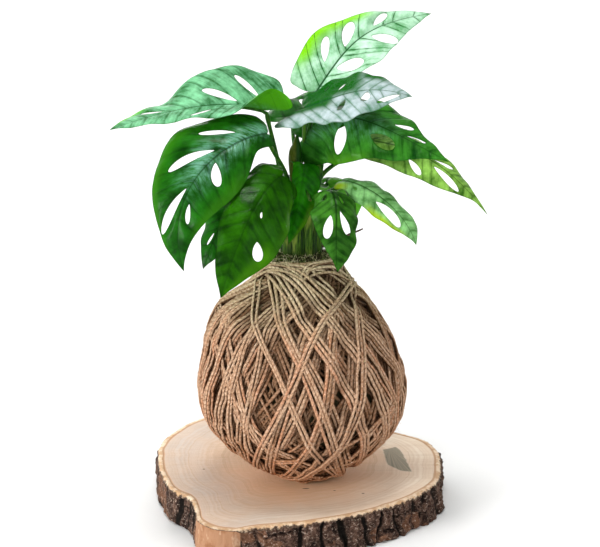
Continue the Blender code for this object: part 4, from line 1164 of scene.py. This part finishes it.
class Blade:
    """One leaf's blade. It carries flat coordinates (along the midrib, out from it to the left) into space.

    What belongs to a half blade is kept by its side, L or R.
    """

    def __init__(self, row):
        (self.stem, self.seat, self.nudge, midrib, left, right, lobes, self.roll, fold_left, fold_right,
         curls, self.holes, self.greens, self.accent, self.look) = row
        self.patches = self.look.pop("patches", ())
        self.widths = {L: left, R: right}
        self.lobes = dict(zip((L, R), lobes))
        self.folds = {L: np.array(fold_left, float), R: np.array(fold_right, float)}
        self.curls = {side: math.radians(curl) / max(self.widths[side]) or 1e-6
                      for side, curl in zip((L, R), curls)}
        p0, p1, p2, p3 = (np.array(p, float) for p in midrib)
        self.controls = (p0, (-5 * p0 + 18 * p1 - 9 * p2 + 2 * p3) / 6,
                         (2 * p0 - 9 * p1 + 18 * p2 - 5 * p3) / 6, p3)
        self.shares = np.linspace(0, 1, 41)
        self.reach = travel(bezier(self.controls, self.shares)[0])
        self.length = self.reach[-1]
        self.level = unit(np.array([p0[1] - p3[1], p3[0] - p0[0], 0]))

    def half(self, y, value):
        """value(side) for the half that each y lies on."""
        return np.where(y >= 0, value(L), value(R))

    def frame(self, x):
        """Origins, tangents, lefts and normals at distances x along the midrib."""
        inside = np.clip(x, 0, self.length)
        t = np.interp(inside, self.reach, self.shares)
        origin, tangent = bezier(self.controls, t)
        origin = origin + tangent * (x - inside)[:, None]
        normal = unit(np.cross(tangent, self.level))
        left = np.cross(normal, tangent)
        low, high = self.roll
        roll = np.radians(low + (high - low) * t)[:, None]
        return (origin, tangent, left * np.cos(roll) + normal * np.sin(roll),
                normal * np.cos(roll) - left * np.sin(roll))

    def place(self, x, y, lift):
        """Points at the flat coordinates, raised off the sheet by lift."""
        origin, _, left, normal = self.frame(x)
        share = np.clip(x / self.length, 0, 1)
        k = np.clip(np.searchsorted(FOLD_STATIONS, share, side="left") - 1, 0, len(FOLD_STATIONS) - 2)
        t = smoothstep(FOLD_STATIONS[k], FOLD_STATIONS[k + 1], share)
        fold = self.half(y, lambda side: np.radians(self.folds[side][k] + np.diff(self.folds[side])[k] * t))
        bend = self.half(y, lambda side: self.curls[side])
        tilt = fold + bend * np.abs(y)
        lateral = ((np.sin(tilt) - np.sin(fold)) / bend)[:, None]
        height = ((np.cos(fold) - np.cos(tilt)) / bend)[:, None]
        tilt, side = tilt[:, None], np.where(y >= 0, L, R)[:, None]
        sheet_normal = normal * np.cos(tilt) - left * side * np.sin(tilt)
        return origin + left * (side * lateral) + normal * height + sheet_normal * lift[:, None]

    def half_width(self, x, y):
        stations = np.array([-0.1, *WIDTH_STATIONS, 0.95, 1]) * self.length

        def width(side):
            first, *_, last = widths = self.widths[side]
            return np.interp(x, stations, [first * 0.8, *widths, last * 0.3, 0.5])
        return self.half(y, width)

    def outline(self):
        """The flat outline from the tip down the left half to the stalk and back along the right."""
        halves = []
        for side, widths in self.widths.items():
            shape = [(along * self.lobes[side], out * widths[0]) for along, out in LOBE]
            shape += [(share * self.length, width) for share, width in zip(WIDTH_STATIONS, widths)]
            shape += [(share * self.length, out * widths[-1]) for share, out in TIP]
            dense = spline(shape, 400)
            along = travel(dense)
            at = np.linspace(0, along[-1], int(along[-1] / OUTLINE_STEP))
            points = columns(np.interp(at, along, dense[:, 0]), np.interp(at, along, dense[:, 1]) * side)
            points[0] = (0, 0)
            halves.append(points)
        return join([halves[0][::-1], halves[1][1:-1]])

    def hole(self, side, x0, y0, x1, y1, half_height):
        """A hole's flat outline: a spindle, blunter at its outer end."""
        inner, outer = np.array([x0 * self.length, y0]), np.array([x1 * self.length, y1])
        middle, axis = (inner + outer) / 2, (outer - inner) / 2
        across = unit(np.array([axis[1], -axis[0]])) * half_height
        count = max(int(2.3 * (np.linalg.norm(axis) + half_height) / OUTLINE_STEP), 12)
        around = np.arange(count) / count * FULL_TURN
        along = np.cos(around)
        swell = np.sign(np.sin(around)) * ((1 + along) / 2) ** 0.8 * ((1 - along) / 2) ** 0.5 / 0.53
        return (middle + axis * along[:, None] + across * swell[:, None]) * (1, side)


def within(points, loop):
    """Whether each flat point is inside the closed loop."""
    px, py = points[:, None, 0], points[:, None, 1]
    ax, ay = loop.T
    bx, by = np.roll(loop, -1, 0).T
    spans = (ay > py) != (by > py)
    rise = np.where(by == ay, 1e-9, by - ay)
    return np.sum(spans & (px < ax + (py - ay) / rise * (bx - ax)), 1) % 2 == 1


def nearest(points, others):
    """The distance from each flat point to the nearest of others."""
    return np.linalg.norm(points[:, None] - others, axis=2).min(1)


def flat_sheet(blade):
    """The blade triangulated flat: points, triangles, and each point's distance from the nearest edge."""
    loops = [blade.outline()] + [blade.hole(*spec) for spec in blade.holes]
    rim = join(loops)
    edges = []
    for loop in loops:
        numbers = len(edges) + np.arange(len(loop))
        edges += zip(numbers.tolist(), np.roll(numbers, -1).tolist())

    def on_blade(places):
        inside = within(places, loops[0])
        for loop in loops[1:]:
            inside &= ~within(places, loop)
        return inside

    steps = int(blade.length / GRID_STEP)
    rows = int(WIDEST_HALF / ROW_STEP) + 1
    inner = [(i * blade.length / steps, y) for y in (-0.9, -0.4, 0.4, 0.9) for i in range(1, steps)]
    inner += [((step + 0.5 * (row % 2)) * GRID_STEP, math.copysign(1.1, row) + row * ROW_STEP)
              for row in range(-rows, rows + 1) if row for step in range(-LOBE_STEPS, steps + 1)]
    inner = np.array(inner)
    inner = inner[on_blade(inner) & (nearest(inner, rim) > GRID_STEP * 0.5)]
    rib = [(blade.length * i / steps, 0) for i in range(1, steps)]
    sinus = int(np.argmin(np.linalg.norm(loops[0], axis=1)))
    chain = [sinus, *range(len(rim), len(rim) + len(rib)), 0]
    flat = geometry.delaunay_2d_cdt([Vector(p) for p in join([rim, rib, inner])],
                                    edges + list(zip(chain, chain[1:])), [], 0, 1e-5)
    corners = np.array([(v.x, v.y) for v in flat[0]])
    faces = np.array([face for face in flat[2] if len(face) == 3])
    faces = faces[on_blade(corners[faces].mean(1))]
    used, faces = np.unique(faces, return_inverse=True)
    return corners[used], faces.reshape(-1, 3), nearest(corners[used], rim)


def vein_starts(blade):
    """Where the side veins leave the midrib, spaced so that most run between the holes."""
    spacing = blade.length / VEIN_COUNT
    starts = np.arange(-3, 10) * spacing + 0.3 * spacing
    starts += spacing * 0.16 * np.sin(np.arange(len(starts)) * 2.4 + blade.length)
    for _, x0, y0, x1, y1, half_height in blade.holes:
        y = (y0 + y1) / 2
        gap = starts - ((x0 + x1) / 2 * blade.length - VEIN_SLOPE * y - VEIN_CURVE * y * y)
        reach = half_height + 2
        push = np.sign(gap + 1e-6) * (reach - np.abs(gap)) * 0.6
        starts = starts + np.where(np.abs(gap) < reach, push, 0)
    return np.maximum.accumulate(starts + np.arange(len(starts)) * 1e-3)


MANY = 1000003  # more than any blade has points, so that each directed edge gets its own number


def boundary(faces):
    """The directed edges that only one triangle has."""
    edges = join([faces[:, [0, 1]], faces[:, [1, 2]], faces[:, [2, 0]]])
    there, back = edges @ (MANY, 1), edges @ (1, MANY)
    return edges[~np.isin(there, back)]


def build_blade(name, blade, seed, look):
    """The blade's fine sheet: side veins sunk between raised tissue, a midrib channel and a wavy margin."""
    flat, faces, rim = flat_sheet(blade)
    x, y = flat.T
    out = np.abs(y)
    share = np.clip(x / blade.length, 0, 1)
    starts = vein_starts(blade)
    lead = x - VEIN_SLOPE * out - VEIN_CURVE * out * out
    phase = np.interp(lead, starts, np.arange(len(starts)))
    k = np.clip(phase.astype(int), 0, len(starts) - 2)
    spacing = starts[k + 1] - starts[k]
    reach = np.clip(out / blade.half_width(x, y), 0, 1)

    swell = 0.35 + 0.9 * np.random.default_rng(seed).random((2, len(starts)))
    between = np.abs(phase - np.round(phase))
    pillow = QUILT * spacing * swell[(y >= 0).astype(int), k] * np.sin(math.pi * between) ** 0.8
    pillow *= smoothstep(0.5, 7, out) * (0.35 + 0.65 * smoothstep(0, 4, rim))
    groove = GROOVE_DEPTH * (1 - 0.6 * share) * np.exp(-(out / 0.85) ** 2)
    ridge = RIDGE_RISE * (1 - 0.5 * share) * np.exp(-((out - 2.6) / 1.8) ** 2)
    beat = FULL_TURN * x / (blade.length * 0.27) + seed * 1.7 + np.where(y >= 0, 0, 1.9)
    wave = WAVE_HEIGHT * reach ** 2 * np.sin(beat)
    broad = BROAD_HEIGHT * lumps(columns(x, y, seed * 31), 24, seed) * reach
    drop = MARGIN_DROP * (1 - smoothstep(0, 5, rim)) * smoothstep(1, 5, out) * (1 - share ** 4)
    lift = pillow - groove + ridge - drop
    lift += (wave + broad) * smoothstep(2, 14, out) * (1 - share ** 6)

    half = BLADE_HALF * (0.55 + 0.45 * smoothstep(0, 1.5, rim))
    top, bottom = blade.place(x, y, lift + half), blade.place(x, y, lift - half)
    corner = top[faces]
    outward = np.cross(corner[:, 1] - corner[:, 0], corner[:, 2] - corner[:, 0])
    if np.mean(outward * (corner[:, 0] - bottom[faces[:, 0]])) < 0:
        faces = faces[:, ::-1]
    count = len(flat)
    first, last = boundary(faces).T
    wall = join([columns(last, first, first + count), columns(last, first + count, last + count)])
    reach = reach * np.sign(y)
    marks = columns(x, y, 0, phase, spacing, rim, share, reach, patch_share(blade, share, reach))
    marks = np.tile(marks, (2, 1))
    marks[count:, 2] = 1  # the underside
    part = (join([top, bottom]), join([faces, faces[:, ::-1] + count, wall]), marks)
    return make_mesh(f"leaf_{name}_sheet", [part], look, ["lie", "vein", "share"], sharp=60)


def patch_share(blade, share, reach):
    """How much of the leaf's second colour each point takes; reach runs from -1 to 1 across the blade.

    A patch is (half, from and to which share of the length, from how far out between midrib and margin).
    """
    total = np.zeros(len(share))
    for side, start, end, inner in blade.patches:
        along = span(start, end, 0.08, 0.08, share)
        total = np.maximum(total, along * smoothstep(inner - 0.2, inner + 0.2, side * reach))
    return total


def leaf_look(name, greens, accent, veins=0.25, rib=0.75, painted_sheen=0, banding=0.24, gloss=0.06):
    """veins and rib are how dark those are, as painted shade in their grooves; painted_sheen is how much
    painted bluish sheen lies near the midrib; banding is how streaked all is.
    """
    look = Look(name)
    x, y, under = look.mark("lie")
    phase, spacing, rim = look.mark("vein")
    share, reach, patch = look.mark("share")
    out, reach = abs(y), abs(reach)

    # Where the side veins, the midrib and the net between them run
    from_vein = abs(look.math("FRACT", phase + 0.5) - 0.5) * spacing
    vein = (from_vein - reach.step(0.1, 1, 0.42, 0.16)).step(-0.2, 0.35, 1, 0) * out.step(0, 1.2)
    on_rib = (out - share.step(0, 1, 0.75, 0.16)).step(-0.2, 0.25, 1, 0)
    flat = look.vector(x, y)
    cells = {"Vector": flat, "Scale": 1 / 2.6}
    net = look.node("TexVoronoi", cells, feature="DISTANCE_TO_EDGE")[0].step(0.02, 0.09, 1, 0)

    dark, light = greens
    cloud = look.noise(17, 5, 0.58, at=flat)
    streaks = look.noise(1, 5, 0.7, at=look.vector(phase * 6, out * 0.12))
    # lighter away from the veins: a painted highlight on the raised tissue between them
    amount = cloud * 0.6 + from_vein.step(0.3, 2.4) * 0.06 + (look.noise(2.6, 3, 0.6, at=flat) - 0.5) * 0.11
    amount = amount + 0.05 + streaks * banding + (0.34 - banding) * 0.6
    colour = look.mix(patch, look.mix(amount.step(0.4, 0.76), dark, light), accent)
    # painted sheen: pale bluish streaks near the midrib
    if painted_sheen:
        near_rib = reach.step(0.1, 0.6, painted_sheen, 0) * share.step(0.35, 0.7, 1, 0)
        painted_sheen_mask = streaks.step(0.34, 0.66) * cloud.step(0.34, 0.62)
        colour = look.mix(near_rib * painted_sheen_mask, colour, (0.19, 0.43, 0.33))
    pale = tuple(min(1, channel * 1.25 + 0.02) for channel in light)
    deep = tuple(min(channel * 0.6, most) for channel, most in zip(dark, (0.01, 0.07, 0.02)))
    # the pale net is the blade's own; the darkened side veins and midrib are painted shade in their sunk
    # grooves
    for amount, over in ((net * 0.03, pale), (vein * veins, deep), (on_rib * rib, deep)):
        colour = look.mix(amount, colour, over)
    colour = look.lay(colour, (rim, 0.8, 0.25, 0.4, deep))
    colour = look.mix(under, colour, look.mix(0.5, colour, (0.085, 0.42, 0.012)))
    relief = net * -0.5 + look.noise(1.1, 3, 0.6) * 0.5 + vein * -1
    roughness = cloud.step(0.3, 0.8, 0.19, 0.29) + under * 0.25
    look.paint(colour, roughness, gloss, Normal=look.bump(relief, 0.16, 0.6))

    # Light comes through the thin blade
    glow = look.node("BsdfTranslucent", {"Color": look.mix(0.4, colour, (0.14, 0.5, 0.006))})[0]
    surface = Value(look, look.shader.outputs[0])
    blend = look.node("MixShader", {0: 0.26, 1: surface, 2: glow})[0]
    look.put(look.tree.nodes["Material Output"], {0: blend})
    return look.material


def build_leaves():
    stalk_skin = stem_look("stalk_skin", (0.008, 0.052, 0.005), (0.04, 0.15, 0.012), (0.08, 0.2, 0.02))
    made = []
    for seed, (name, row) in enumerate(LEAVES.items(), 1):
        blade = Blade(row)
        look = leaf_look("leaf_" + name, blade.greens, blade.accent, **blade.look)
        made.append((build_blade(name, blade, seed, look), f"leaf_{name}_blade", "blade"))
        made.append((build_stalk(name, blade, stalk_skin), f"leaf_{name}_stalk", "stalk"))
    return made


# ---- floor, light and camera ----

CAMERA_PLACE = (-2, -737, 346)
CAMERA_PITCH = 12.55  # degrees below the horizon
CAMERA_LENS = 62.16  # on a 36 mm sensor
STUDIO_REACH = 850
STUDIO_SWEEP = 1500
STUDIO_HEIGHT = 1700


def build_studio():
    """A pale floor that sweeps up all round into a wall, open at the top."""
    profile = [(1, 0), (STUDIO_REACH, 0)]
    for angle in np.radians(np.linspace(7.5, 90, 12)):
        out = STUDIO_REACH + STUDIO_SWEEP * math.sin(angle)
        profile.append((out, STUDIO_SWEEP * (1 - math.cos(angle))))
    profile.append((STUDIO_REACH + STUDIO_SWEEP, STUDIO_HEIGHT))
    sides = 96
    turns = np.arange(sides) / sides * FULL_TURN
    points = join([columns(r * np.cos(turns), r * np.sin(turns), z) for r, z in profile] + [[[0, 0, 0]]])
    look = Look("studio")
    grain = look.noise(300, 2)
    pale = look.paint(look.mix(grain, (0.74, 0.74, 0.735), (0.76, 0.76, 0.755)), 0.75, 0.1)
    part = (points, shell(len(profile), sides, end=False)[:, ::-1], points)
    make_mesh("studio_floor", [part], pale)


AIR_STRENGTH = 0.3
# Lights: (kind, place, what it aims at, size, watts)
LIGHTS = {
    "overhead": ("POINT", (-60, -100, 1900), None, 320, 104),
    "wall": ("AREA", (0, 900, 1700), (0, 2300, 700), 900, 15),
    "front_left": ("AREA", (-1450, -1000, 430), (0, 0, 200), 650, 41),
    "front_right": ("AREA", (1000, -1000, 900), (0, 0, 200), 700, 3),
    "back": ("AREA", (-500, 1200, 1000), (0, 0, 280), 700, 4),
}


def build_lights():
    world = bpy.data.worlds.new("studio_air")
    world.use_nodes = True
    backdrop = world.node_tree.nodes["Background"]
    backdrop.inputs["Color"].default_value = (1, 1, 1, 1)
    backdrop.inputs["Strength"].default_value = AIR_STRENGTH
    bpy.context.scene.world = world
    bpy.context.scene.view_settings.view_transform = "Standard"
    for name, (kind, place, aim, size, power) in LIGHTS.items():
        data = bpy.data.lights.new(name, kind)
        data.energy = power
        lamp = add_object(name, data, place)
        if aim:
            data.shape = "SQUARE"
            data.size = size * MM
            lamp.rotation_euler = (Vector(aim) - Vector(place)).to_track_quat("-Z", "Y").to_euler()
        else:
            data.shadow_soft_size = size * MM


def build_camera():
    data = bpy.data.cameras.new("camera")
    data.sensor_width = 36
    data.lens = CAMERA_LENS
    data.clip_start = 0.01
    camera = add_object("camera", data, CAMERA_PLACE)
    camera.rotation_euler = (math.radians(90 - CAMERA_PITCH), 0, 0)
    bpy.context.scene.camera = camera


def stand_in(piece, slot, *nodes):
    """piece rides on the body and replaces these solids; slot is not used."""
    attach(piece, "root")
    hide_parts(*nodes)


def main():
    build_studio()
    build_lights()
    build_camera()
    stand_in(build_slice(), "wood", "wood_slice")
    for piece in build_twine():
        stand_in(piece, "twine", "twine_winding")
    stand_in(build_moss_core(), "moss", "moss_wrap", "soil_ball")
    stand_in(build_mouth_moss(), "moss", "moss_wrap")
    for piece, node, slot in build_stems() + build_leaves():
        stand_in(piece, slot, node)
    stand_in(build_rolled_leaf(), "stalk", "rolled_young_leaf")
    stand_in(build_aerial_root(), "aerial_root", "aerial_root")


main()
